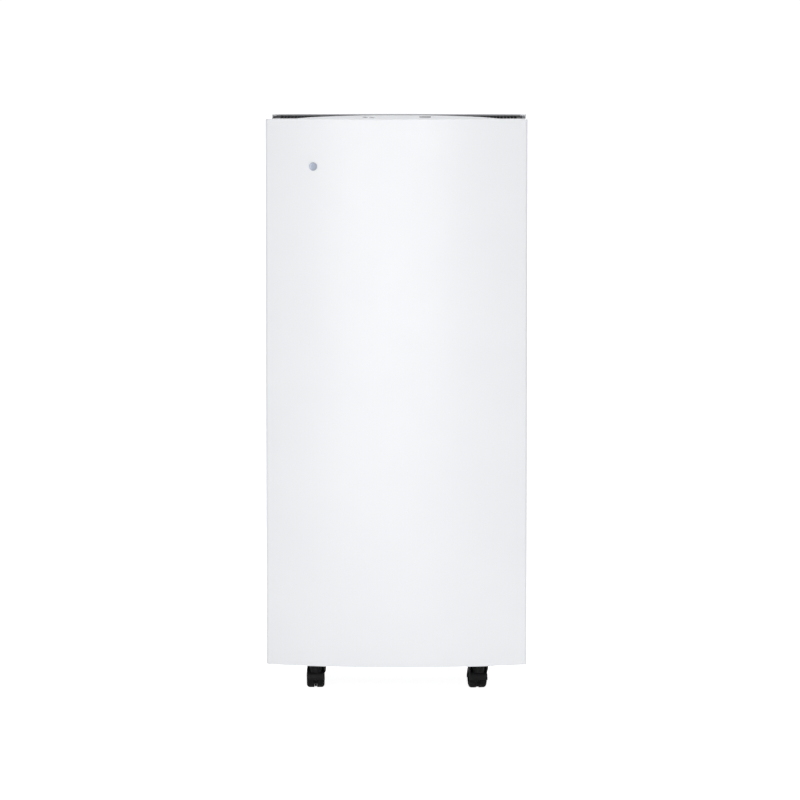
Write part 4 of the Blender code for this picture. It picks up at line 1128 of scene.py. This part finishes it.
@dataclass
class TopTray:
    """The dark rim round the top and the fine grille that lies in it.

    Attributes:
        border: Plain material round the grille's fins.
        pitch: From one fin to the next.
        fin: A fin's thickness and height.
        ribs: How many ribs tie the fins together underneath.
        spread: Where the first and last rib lie, as shares of the grille's half depth.
        shelf: How far the plate reaches beyond the console.
        post: The radius of a post under the board, and its distance from the board's end.
    """

    border: float = 0.008
    pitch: float = 0.0066
    fin: tuple[float, float] = (0.0018, 0.0090)
    ribs: int = 5
    spread: tuple[float, float] = (-0.75, 0.85)
    shelf: float = 0.008
    post: tuple[float, float] = (0.003, 0.006)

    def console_plan(self) -> Arch:
        """The plan of the console as the frame has it."""
        low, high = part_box("control_console")
        return Arch(high.x, low.y, high.y - low.y)

    def build(self) -> None:
        """Makes the rim and the grille."""
        eased_node("top_tray", "dark_plastic", 0.0009, 3)
        low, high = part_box("outlet_grille")
        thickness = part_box("control_console")[0].z - high.z
        bottom = high.z - 0.0025
        plate = block((low.x, low.y, bottom), high)
        with Editing(plate) as edit:
            edit.pick("FACE", lambda at, way: abs(way.z) > 0.9)
            edit.open_inset(self.border)
        ease(plate, 0.0006, 2)
        plan = self.console_plan()
        shelf = Arch(plan.half_width + self.shelf, low.y + self.border / 2,
                     plan.depth + plan.front - low.y + self.shelf / 2).sheet(bottom)
        apply_modifier(shelf, "SOLIDIFY", thickness=high.z - bottom - thickness / 2, offset=1.0)
        ease(shelf, 0.0004, 2, 50.0)
        fins = [self.one_fin(x, plan, high) for x in self.places(high.x)]
        thick, tall = self.fin
        first, last = self.spread
        ribs = []
        for number in range(self.ribs):
            y = high.y * (first + (last - first) * number / (self.ribs - 1))
            ribs.append(block((-high.x + self.border * 1.1, y - thick / 2, high.z - tall),
                              (high.x - self.border * 1.1, y + thick / 2, high.z - tall * 0.55), 0.0003, 1))
        for rib in ribs:
            if rib.data.vertices[0].co.y <= plan.back(0):
                self.clip(rib, plan)
        posts = self.posts(bottom)
        dress(joined(plate, shelf, *fins, *ribs, *posts), "outlet_grille_fins", "cabinet", "dark_plastic",
              "outlet_grille")

    def places(self, half: float) -> list[float]:
        """Where the fins stand across the grille.

        Args:
            half: Half the width of the grille.

        Returns:
            Each fin's X.
        """
        count = int((half - self.border) / self.pitch)
        return [self.pitch * number for number in range(-count, count + 1)]

    def one_fin(self, x: float, plan: Arch, high: Vector) -> Piece:
        """One fin, from the front border or from behind the console to the rear border.

        Args:
            x: Its place across.
            plan: The console's plan.
            high: The grille's highest corner.

        Returns:
            The fin.
        """
        thick, tall = self.fin
        rear = high.y - self.border * 0.98
        front = -rear
        if abs(x) < plan.half_width + self.shelf:
            front = max(front, plan.back(max(abs(x) - self.shelf, 0.0)) + self.shelf * 0.3)
        return block((x - thick / 2, front, high.z - tall), (x + thick / 2, rear, high.z - 0.0003),
                     0.0005, 2)

    def clip(self, rib: Piece, plan: Arch) -> None:
        """Opens a rib where it would pass under the console, which leaves it a piece at each side.

        Args:
            rib: The rib.
            plan: The console's plan.
        """
        y = sum(vert.co.y for vert in rib.data.vertices) / len(rib.data.vertices)
        share = min(max((y - plan.front) / plan.depth, 0.0), 1.0)
        half = plan.half_width * (1 - share**plan.roundness) ** (1 / plan.roundness)
        high = max(vert.co.z for vert in rib.data.vertices)
        reach = plan.depth / 8
        carve(rib, block((-half, y - reach, high - reach), (half, y + reach, high + reach)))

    def posts(self, bottom: float) -> list[Piece]:
        """The two posts that hold the control board.

        Args:
            bottom: The underside of the grille's border.

        Returns:
            The posts.
        """
        low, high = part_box("control_board")
        y = (low.y + high.y) / 2
        radius, inset = self.post
        made = []
        for x in (low.x + inset, high.x - inset):
            length = bottom - high.z
            post = drum((x, y, high.z + length / 2 + 0.0003), Axis.Z, radius, length, 24)
            made.append(ease(post, 0.0004, 2))
        return made


@dataclass
class Console:
    """The pale control console with its button, trim ring and indicator window.

    Attributes:
        edge: The height of its upright edge.
        crest: Where it is highest, as a share of its depth.
        rings: Steps of the crown, from the edge to the crest.
        curve: The crown's first step inwards, the share of a step left at its crest, and its power.
        clearance: Round the ring and the window.
        lens_rise: How far the window's lens stands proud of its seat.
    """

    edge: float = 0.0012
    crest: float = 0.40
    rings: int = 14
    curve: tuple[float, float, float] = (0.985, 0.6, 0.62)
    clearance: float = 0.0003
    lens_rise: float = 0.0009

    def build(self) -> None:
        """Makes the console and its controls."""
        low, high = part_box("control_console")
        plan = Arch(high.x, low.y, high.y - low.y)
        dome = plan.sheet(low.z)
        centre = Vector((0.0, low.y + plan.depth * self.crest, 0.0))
        crown = high.z - low.z - self.edge
        with Editing(dome) as edit:
            bpy.ops.mesh.extrude_region_move(TRANSFORM_OT_translate={"value": (0, 0, self.edge)})
            share, risen = 1.0, 0.0
            start, left, power = self.curve
            for number in range(1, self.rings + 1):
                wanted = start * math.cos(math.pi / 2 * number / (self.rings + left))
                rise = crown * (1 - wanted**2) ** power
                bpy.ops.mesh.extrude_region_move(TRANSFORM_OT_translate={"value": (0, 0, rise - risen)})
                size = (wanted / share, wanted / share, 1.0)
                bpy.ops.transform.resize(value=size, center_override=centre)
                share, risen = wanted, rise
            bpy.ops.mesh.poke()
            edit.weld()
            bpy.ops.mesh.normals_make_consistent(inside=False)
        carve(dome, self.ring_cutter(), self.window(self.clearance, high.z + self.edge))
        dress(ease(dome, 0.0, angle=32.0), "console_cover", "cabinet", "console_plastic", "control_console")
        self.controls()

    def ring_cutter(self) -> Piece:
        """The hole that the trim ring sits in."""
        low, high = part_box("button_ring")
        radius = (high.x - low.x) / 2 + self.clearance
        return drum((low + high) / 2, Axis.Z, radius, 4 * (high.z - low.z), 96)

    def window(self, grow: float, top: float) -> Piece:
        """A slot with round ends where the indicator window is.

        Args:
            grow: How much larger than the window it is, all round.
            top: Its highest point.

        Returns:
            The pill-shaped block.
        """
        low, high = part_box("indicator_window")
        radius = (high.y - low.y) / 2 + grow
        bottom = low.z - grow
        pill = block((low.x - grow, low.y - grow, bottom), (high.x + grow, high.y + grow, top))
        with Editing(pill) as edit:
            edit.pick("EDGE", lambda at, way: abs(way.z) > 0.9)
            bpy.ops.mesh.bevel(offset=radius * 0.999, segments=12, affect="EDGES")
            edit.weld()
        return pill

    def controls(self) -> None:
        """The window, the ring and the button."""
        window_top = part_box("indicator_window")[1].z + self.lens_rise
        dress(ease(self.window(0.0, window_top), 0.0004, 3), "indicator_lens", "cabinet", "smoked_window",
              "indicator_window")
        low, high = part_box("button_ring")
        centre = Vector(((low.x + high.x) / 2, (low.y + high.y) / 2, 0.0))
        outer = (high.x - low.x) / 2
        button_low, button_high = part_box("power_button")
        bore = outer - 0.0040 + self.clearance
        seat = outer - 0.0027 + self.clearance
        lip = high.z - 0.0010
        ring = [(bore, high.z - 0.0003), (bore + 0.0004, high.z), (outer - 0.0012, high.z),
                (outer - 0.0004, high.z - 0.0002), (outer, high.z - 0.0007), (outer, low.z), (seat, low.z),
                (seat, lip), (bore, lip)]
        trim = ease(lathe(centre, (0, 0, 1), ring, 96, closed=True), 0.0, angle=25.0)
        dress(trim, "button_trim_ring", "cabinet", "steel", "button_ring")
        radius, top = outer - 0.0040, button_high.z
        flange = lip - self.clearance
        stem = 0.0030
        cap = [(0, top - 0.00045), (radius * 0.35, top - 0.0004), (radius * 0.7, top - 0.00022),
               (radius * 0.88, top), (radius - 0.0003, top - 0.0002), (radius, top - 0.0006),
               (radius, flange),
               (radius + 0.0013, flange), (radius + 0.0013, flange - 0.0010), (stem, flange - 0.0010),
               (stem, button_low.z), (0, button_low.z)]
        dress(ease(lathe(centre, (0, 0, 1), cap, 96), 0.0, angle=25.0), "power_button_cap", "power_button",
              "console_plastic", "power_button")


# ---- the fan -----------------------------------------------------------------------------------


@dataclass
class Fan:
    """The double-inlet wheel, its motor and bracket, and the bell-mouth inlets.

    Attributes:
        blades: How many blades each face of the wheel has.
        blade: A blade's thickness and the radius of its curve.
        chord: How deep the ring of blades is.
        disc: The thickness of the middle disc and of the end rings.
        lip: The inlet's flange beyond its throat.
        hub: The hub's radius and its bore.
        hoop: How broad an end ring is, and the break of its outer edge.
        bell: The wall of a bell-mouth, and how far it curls in.
        grooves: How many grooves the motor's drum has, and their depth.
        shoulder: The chamfer at the motor's far end.
        spigot: The radius and the depth of the hole in that end.
    """

    blades: int = 42
    blade: tuple[float, float] = (0.0014, 0.026)
    chord: float = 0.030
    disc: tuple[float, float] = (0.003, 0.004)
    lip: float = 0.014
    hub: tuple[float, float] = (0.018, 0.0053)
    hoop: tuple[float, float] = (0.0165, 0.0010)
    bell: tuple[float, float] = (0.0015, 0.0125)
    grooves: tuple[int, float] = (8, 0.003)
    shoulder: float = 0.0095
    spigot: tuple[float, float] = (0.0056, 0.004)

    def wheel(self) -> None:
        """The impeller: a hub, a dished disc, two end rings and two rings of curved blades."""
        low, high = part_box("impeller")
        centre = (low + high) / 2
        radius, half = (high.z - low.z) / 2, (high.y - low.y) / 2
        disc, ring = self.disc
        hub, bore = self.hub
        broad, edge = self.hoop
        plate = [(bore, hub), (hub - 0.001, hub), (hub, hub - 0.001), (hub, disc), (hub + 0.003, disc / 2),
                 (radius, disc / 2), (radius, -disc / 2), (hub + 0.003, -disc / 2), (bore, -disc / 2)]
        wheel = ease(lathe(centre, (0, 1, 0), plate, 96, closed=True), 0.0)
        parts = []
        for way in (-1, 1):
            outer, inner = way * half, way * (half - ring)
            hoop = [(radius - broad, outer), (radius - edge, outer), (radius, outer - way * edge),
                    (radius, inner), (radius - broad, inner)]
            parts.append(ease(lathe(centre, (0, 1, 0), hoop, 96, closed=True), 0.0))
            parts.append(self.blade_ring(centre, radius, sorted((way * disc / 2, way * (half - ring / 2)))))
        dress(joined(wheel, *parts), "fan_wheel", "impeller", "fan_plastic", "impeller")

    def blade_ring(self, centre: Vector, radius: float, ends: list[float]) -> Piece:
        """One blade bent to an arc, spun into a ring of copies.

        Args:
            centre: The wheel's middle.
            radius: The wheel's outer radius.
            ends: Where a blade starts and stops along the axis.

        Returns:
            The ring of blades.
        """
        thick, curve = self.blade
        middle = radius - self.chord / 2
        at = Vector((centre.x + curve * 0.9, centre.y + sum(ends) / 2, centre.z + middle))
        bpy.ops.mesh.primitive_cylinder_add(vertices=36, radius=curve, depth=ends[1] - ends[0],
                                            end_fill_type="NOTHING", location=at, rotation=Axis.Y.value)
        blade = settled(bpy.context.object)
        reach = self.chord / 2 - thick
        with Editing(blade):
            for at_z, way in ((at.z + reach, 1), (at.z - reach, -1)):
                bpy.ops.mesh.select_all(action="SELECT")
                bpy.ops.mesh.bisect(plane_co=(0, 0, at_z), plane_no=(0, 0, way), clear_outer=True)
            bpy.ops.mesh.select_all(action="SELECT")
            bpy.ops.mesh.bisect(plane_co=at, plane_no=(1, 0, 0), clear_outer=True)
        apply_modifier(blade, "SOLIDIFY", thickness=thick, offset=0.0)
        with Editing(blade) as edit:
            bpy.ops.mesh.spin(steps=self.blades, dupli=True, angle=2 * math.pi, center=centre,
                              axis=(0, 1, 0))
            edit.weld()
        return ease(blade, 0.0)

    def inlet(self, side: Side) -> None:
        """A bell-mouth: a flange on the sheet, curling in towards the wheel.

        Args:
            side: The half of the cabinet that it is in.
        """
        low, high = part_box("front_inlet_ring")
        centre = Vector(((low.x + high.x) / 2, low.y, (low.z + high.z) / 2))
        outer = (high.x - low.x) / 2
        (wall, curl), length = self.bell, high.y - low.y
        throat = outer - self.lip
        face = [(outer, 0.0), (outer, wall)]
        inner = [(outer, 0.0)]
        for sine, cosine in quarter(10):
            out, along = throat - curl * sine, (length - wall) * (1 - cosine)
            face.append((out, along + wall))
            inner.append((out - wall, along))
        profile = face + inner[:0:-1]
        ring = ease(lathe(centre, (0, 1, 0), profile, 96, closed=True), 0.0)
        dress(turn(ring, side.value), f"{side.word}_bell_mouth", "cabinet", "fan_plastic",
              f"{side.word}_inlet_ring")

    def motor(self) -> None:
        """The motor: a drum with grooves round it, a shoulder and a spigot hole."""
        low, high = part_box("fan_motor")
        centre = Vector(((low.x + high.x) / 2, 0.0, (low.z + high.z) / 2))
        radius = (high.z - low.z) / 2
        near, far = low.y, high.y
        profile = [(0, near), (radius * 0.45, near), (radius * 0.5, near + 0.001),
                   (radius * 0.88, near + 0.001), (radius - 0.001, near + 0.005)]
        (grooves, deep), (bore, depth) = self.grooves, self.spigot
        floor = radius - deep
        start, end = near + 0.007, far - 0.012
        for number in range(grooves):
            foot = start + (end - start) * number / grooves
            head = foot + (end - start) * 0.5 / grooves
            profile += [(floor, foot - 0.0004), (radius, foot), (radius, head), (floor, head + 0.0004)]
        profile += [(radius, end), (radius, far - self.shoulder), (radius - self.shoulder, far), (bore, far),
                    (bore, far - depth), (0, far - depth)]
        body = ease(lathe(centre, (0, 1, 0), profile, 96), 0.0, angle=20.0)
        dress(body, "fan_motor_body", "cabinet", "steel", "fan_motor")
        eased_node("motor_bracket", "zinc_sheet", 0.0009, 3)
        eased_node("motor_shaft", "steel", 0.0006, 3, body="impeller")

    def build(self) -> None:
        """Makes the fan and the sheets round it."""
        self.wheel()
        self.motor()
        for side in Side:
            self.inlet(side)
            eased_node(f"{side.word}_partition", "zinc_sheet", 0.0003)
        dress_node("fan_scroll", "zinc_sheet")


# ---- the castors -------------------------------------------------------------------------------


@dataclass
class Castor:
    """A twin-wheel castor: its hood with stem and axle, and its two wheels.

    Attributes:
        corner: The corner that it stands at.
        half_width: Half the width over both wheels.
        web: The thickness of the hood's middle wall, and how far below the axle it comes.
        space: The radius of the room for a wheel, and the thickness of the cover over it.
        skirt: How far below the axle the cover comes.
        swivel: The radii of the swivel boss, the stem and the axle.
        boss_top: The top of the swivel boss.
        stem_top: The top of the stem.
        tread: The rounding of a wheel's tread, at its outer and its inner edge.
        crown: How much each side of the hood leans in towards its top.
        hub: Radii and depths of a wheel's hollow face, from the middle out.
    """

    corner: str
    half_width: float = 0.0171
    web: tuple[float, float] = (0.004, 0.0192)
    space: tuple[float, float] = (0.0222, 0.0020)
    skirt: float = 0.0034
    swivel: tuple[float, float, float] = (0.012, 0.0055, 0.003)
    boss_top: float = 0.0558
    stem_top: float = 0.0819
    tread: tuple[float, float] = (0.006, 0.001)
    crown: float = 0.0014
    hub: tuple[tuple[float, float], ...] = (
        (0.0052, 0.0020), (0.0060, 0.0034), (0.0112, 0.0034), (0.0130, 0.0010), (0.0142, 0.0002),
    )

    def __post_init__(self) -> None:
        """Reads the castor's swivel, its axle and its heading from the joints."""
        pivot, _ = joint(f"{self.corner}_castor_swivel")
        left, axis = joint(f"{self.corner}_left_wheel_roll")
        right, _ = joint(f"{self.corner}_right_wheel_roll")
        middle = (left + right) / 2
        self.heading = math.atan2(axis.y, axis.x)
        self.trail = math.hypot(middle.x - pivot.x, middle.y - pivot.y)
        self.axle = Vector((0.0, self.trail, middle.z))
        self.pivot = Vector((pivot.x, pivot.y, 0.0))

    def placed(self, piece: Piece) -> Piece:
        """Turns a piece to the castor's heading and sets it at its corner.

        Args:
            piece: The piece, at the origin.

        Returns:
            The piece in its place.
        """
        piece.data.transform(Matrix.Translation(self.pivot) @ Matrix.Rotation(self.heading, 4, "Z"))
        return piece

    def hood(self) -> Piece:
        """The hood: a band over each wheel, the wall between them, the boss and the stem.

        Returns:
            The hood at its heading.
        """
        room, cover = self.space
        thick, reach = self.web
        boss, stem, pin = self.swivel
        hood = drum(self.axle, Axis.X, room + cover, 2 * self.half_width, 96)
        with Editing(hood) as edit:
            edit.bisect((0, 0, self.axle.z - self.skirt), (0, 0, -1))
        self.open_rooms(hood)
        boss_bottom = self.axle.z + room / 2
        carve(
            hood,
            drum(self.axle, Axis.X, reach, thick, 72),
            drum((0, 0, (boss_bottom + self.boss_top) / 2), Axis.Z, boss, self.boss_top - boss_bottom, 72),
            operation="UNION",
        )
        self.open_rooms(hood)
        carve(
            hood,
            drum((0, 0, (self.boss_top + self.stem_top) / 2 - boss / 4), Axis.Z, stem,
                 self.stem_top - self.boss_top + boss / 2, 40),
            drum(self.axle, Axis.X, pin, 2 * (self.half_width - self.hub[1][1]), 32),
            operation="UNION",
        )
        top = self.axle.z + room + cover
        for vertex in hood.data.vertices:
            lean = (vertex.co.z - self.axle.z) / (top - self.axle.z)
            if lean > 0 and vertex.co.z < self.boss_top - 0.0001 and abs(vertex.co.x) > boss:
                vertex.co.x -= math.copysign(self.crown * min(lean, 1.0), vertex.co.x)
        return self.placed(ease(hood, 0.0007, 3))

    def open_rooms(self, hood: Piece) -> None:
        """Cuts the two hollows that the wheels turn in.

        Args:
            hood: The hood, before it is set at its corner.
        """
        wide = self.half_width
        for way in (-1, 1):
            place = self.axle + Vector((way * (self.web[0] / 2 + wide), 0, 0))
            carve(hood, drum(place, Axis.X, self.space[0], 2 * wide, 96))

    def wheel(self, way: int) -> Piece:
        """One wheel with a rounded tread and a hollow hub.

        Args:
            way: -1 for the left wheel, 1 for the right.

        Returns:
            The wheel at its heading.
        """
        radius, pin = self.axle.z, self.swivel[2] + 0.0003
        near, far = self.web[0] / 2 + 0.0006, self.half_width
        outer, inner = self.tread
        profile = [(pin, far - self.hub[0][1]), *((out, far - deep) for out, deep in self.hub),
                   (radius - outer, far)]
        for sine, cosine in quarter(8)[1:]:
            profile.append((radius - outer * (1 - sine), far - outer * (1 - cosine)))
        for sine, cosine in quarter(8):
            profile.append((radius - inner * (1 - cosine), near + inner * (1 - sine)))
        profile.append((pin, near))
        profile = [(out, way * along) for out, along in profile]
        return self.placed(ease(lathe(self.axle, (1, 0, 0), profile, 72, closed=True), 0.0, angle=25.0))

    def build(self) -> None:
        """Makes the castor."""
        name = self.corner
        dress(self.hood(), f"{name}_hood", f"{name}_castor", "castor_plastic", f"{name}_castor_hood")
        for word, way in (("left", -1), ("right", 1)):
            dress(self.wheel(way), f"{name}_{word}_tyre", f"{name}_{word}_wheel", "castor_plastic",
                  f"{name}_{word}_wheel")


# ---- the electrical pieces ---------------------------------------------------------------------


@dataclass
class Electrics:
    """The power supply, the air sensor, the control board and the mains inlet.

    Attributes:
        pin: A mains pin's length, thickness and breadth.
        pins: Each pin's place across and up from the socket's middle.
        floor: How deep the socket is.
        drop: How far the board's upper face lies below the top of its solid.
        chips: How many flat chips are on the board.
        capacitor: The radius and the height of a capacitor.
    """

    pin: Point = (0.0090, 0.0022, 0.0042)
    pins: tuple[tuple[float, float], ...] = ((-0.007, -0.0025), (0.0, 0.0025), (0.007, -0.0025))
    floor: float = 0.015
    drop: float = 0.0025
    chips: int = 7
    capacitor: tuple[float, float] = (0.0025, 0.0044)

    def inlet(self) -> None:
        """The inlet's moulding, and its three steel pins."""
        eased_node("mains_inlet", "dark_plastic", 0.0005)
        low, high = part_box("mains_inlet")
        middle, root = (low + high) / 2, high.x - self.floor
        length, thick, broad = self.pin
        pins = []
        for across, up in self.pins:
            y, z = middle.y + across, middle.z + up
            pins.append(block((root - 0.0002, y - thick / 2, z - broad / 2),
                              (root + length + 0.0002, y + thick / 2, z + broad / 2), 0.0005, 3))
        dress(ease(joined(*pins), 0.0), "mains_inlet_pins", "cabinet", "steel")

    def parts(self) -> None:
        """What is soldered to the control board."""
        low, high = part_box("control_board")
        face = high.z - self.drop
        made = []
        for number in range(self.chips):
            x = low.x + (high.x - low.x) * (number + 1.2) / (self.chips + 2)
            y = low.y + (high.y - low.y) * (0.25 if number % 2 else 0.78)
            long, wide, rise = (0.0090, 0.0060, 0.0012) if number % 3 else (0.0050, 0.0032, 0.0018)
            foot, head = (x - long / 2, y - wide / 2, face), (x + long / 2, y + wide / 2, face + rise)
            made.append(block(foot, head, 0.0003))
        radius, height = self.capacitor
        for x in (high.x - 0.034, high.x - 0.044):
            can = drum((x, low.y + 0.010, face + height / 2), Axis.Z, radius, height, 32)
            made.append(ease(can, 0.0004))
        dress(ease(joined(*made), 0.0), "control_board_parts", "cabinet", "dark_plastic")

    def build(self) -> None:
        """Makes the electrical pieces."""
        eased_node("power_supply", "supply_case", 0.0010, 3)
        eased_node("air_sensor", "dark_plastic", 0.0008, 3)
        eased_node("control_board", "board_green", 0.0002, 1)
        self.inlet()
        self.parts()


@dataclass
class Cabinet:
    """The base tray, the side panels, the corner strips and the filters."""

    def build(self) -> None:
        """Makes the cabinet."""
        eased_node("base_tray", "dark_plastic", 0.0009, 3)
        for side in ("left", "right"):
            eased_node(f"{side}_side_panel", "white_lacquer", 0.0004)
        for corner in CORNERS:
            IntakeGrille(corner).build()
        for side in Side:
            for level in ("lower", "upper"):
                FilterPack(side, level).build()


# ---- the studio --------------------------------------------------------------------------------


@dataclass
class Studio:
    """The floor, the soft lights, the sky and the camera.

    Attributes:
        eye: Where the camera stands.
        target: What it looks at.
        lens: Its focal length in millimetres, on a 36 mm sensor.
        lamps: Each lamp's name, place, size and power; all face the object's middle.
        sky: The light from all round, and the brightness of the backdrop.
        glow: The light that the floor gives back by itself, and how much more of it is seen straight on.
    """

    eye: Point = (0.156, -10.165, 1.390)
    target: Point = (0.0067, -0.165, 0.565)
    lens: float = 236.0
    lamps: tuple[tuple[str, Point, float, float], ...] = (
        ("key_lamp", (-0.30, -4.2, 0.80), 3.2, 67.0),
        ("fill_lamp", (2.4, -3.2, 1.6), 2.4, 4.0),
        ("top_lamp", (0.0, 0.2, 3.4), 1.6, 30.0),
        ("back_lamp", (2.0, 3.6, 3.6), 2.4, 46.0),
    )
    sky: tuple[float, float] = (0.455, 1.05)
    glow: tuple[float, float] = (0.24, 0.68)

    def aim(self, place: Point) -> Euler:
        """The turn that points a camera or a lamp at the target.

        Args:
            place: Where it stands.

        Returns:
            The turn.
        """
        return (Vector(self.target) - Vector(place)).to_track_quat("-Z", "Y").to_euler()

    def camera(self) -> None:
        """Sets up the camera."""
        data = bpy.data.cameras.new("camera")
        data.lens, data.sensor_width = self.lens, 36.0
        data.clip_end = 100.0
        camera = bpy.data.objects.new("camera", data)
        bpy.context.scene.collection.objects.link(camera)
        camera.location = self.eye
        camera.rotation_euler = self.aim(self.eye)
        bpy.context.scene.camera = camera

    def floor(self) -> None:
        """Lays a wide pale floor."""
        bpy.ops.mesh.primitive_grid_add(x_subdivisions=8, y_subdivisions=8, size=120.0,
                                        location=(0, 0, -0.0002))
        floor = bpy.context.object
        floor.name = "floor"
        made = bpy.data.materials.new("floor_white")
        made.use_nodes = True
        shader = made.node_tree.nodes["Principled BSDF"]
        shader.inputs["Base Color"].default_value = (0.92, 0.92, 0.92, 1.0)
        shader.inputs["Roughness"].default_value = 0.9
        shader.inputs["Emission Color"].default_value = (1.0, 1.0, 1.0, 1.0)
        nodes, links = made.node_tree.nodes, made.node_tree.links
        rays, strength = nodes.new("ShaderNodeLightPath"), nodes.new("ShaderNodeMath")
        strength.operation = "MULTIPLY_ADD"
        strength.inputs[1].default_value, strength.inputs[2].default_value = self.glow[1], self.glow[0]
        links.new(rays.outputs["Is Camera Ray"], strength.inputs[0])
        links.new(strength.outputs["Value"], shader.inputs["Emission Strength"])
        floor.data.materials.append(made)

    def lights(self) -> None:
        """Hangs the lamps and lights the sky."""
        for name, place, size, power in self.lamps:
            data = bpy.data.lights.new(name, "AREA")
            data.shape, data.size, data.energy = "DISK", size, power
            lamp = bpy.data.objects.new(name, data)
            bpy.context.scene.collection.objects.link(lamp)
            lamp.location = place
            lamp.rotation_euler = self.aim(place)
        world = bpy.data.worlds.new("studio_sky")
        bpy.context.scene.world = world
        world.use_nodes = True
        nodes, links = world.node_tree.nodes, world.node_tree.links
        plain = nodes["Background"]
        plain.inputs["Color"].default_value = (0.97, 0.98, 1.0, 1.0)
        plain.inputs["Strength"].default_value = self.sky[0]
        backdrop = nodes.new("ShaderNodeBackground")
        backdrop.inputs["Color"].default_value = (1.0, 1.0, 1.0, 1.0)
        backdrop.inputs["Strength"].default_value = self.sky[1]
        rays = nodes.new("ShaderNodeLightPath")
        mix = nodes.new("ShaderNodeMixShader")
        links.new(rays.outputs["Is Camera Ray"], mix.inputs["Fac"])
        links.new(plain.outputs["Background"], mix.inputs[1])
        links.new(backdrop.outputs["Background"], mix.inputs[2])
        links.new(mix.outputs["Shader"], nodes["World Output"].inputs["Surface"])

    def build(self) -> None:
        """Sets up the studio."""
        bpy.context.scene.view_settings.view_transform = "Standard"
        self.camera()
        self.floor()
        self.lights()


def main() -> None:
    """Builds the purifier's surface, one sub-assembly after another."""
    logging.basicConfig(level=logging.INFO, format="%(name)s: %(message)s")
    Studio().build()
    for side in Side:
        Door(side).build()
    Badge().build()
    Cabinet().build()
    TopTray().build()
    Console().build()
    Fan().build()
    for corner in CORNERS:
        Castor(corner).build()
    Electrics().build()


if __name__ == "__main__":
    main()
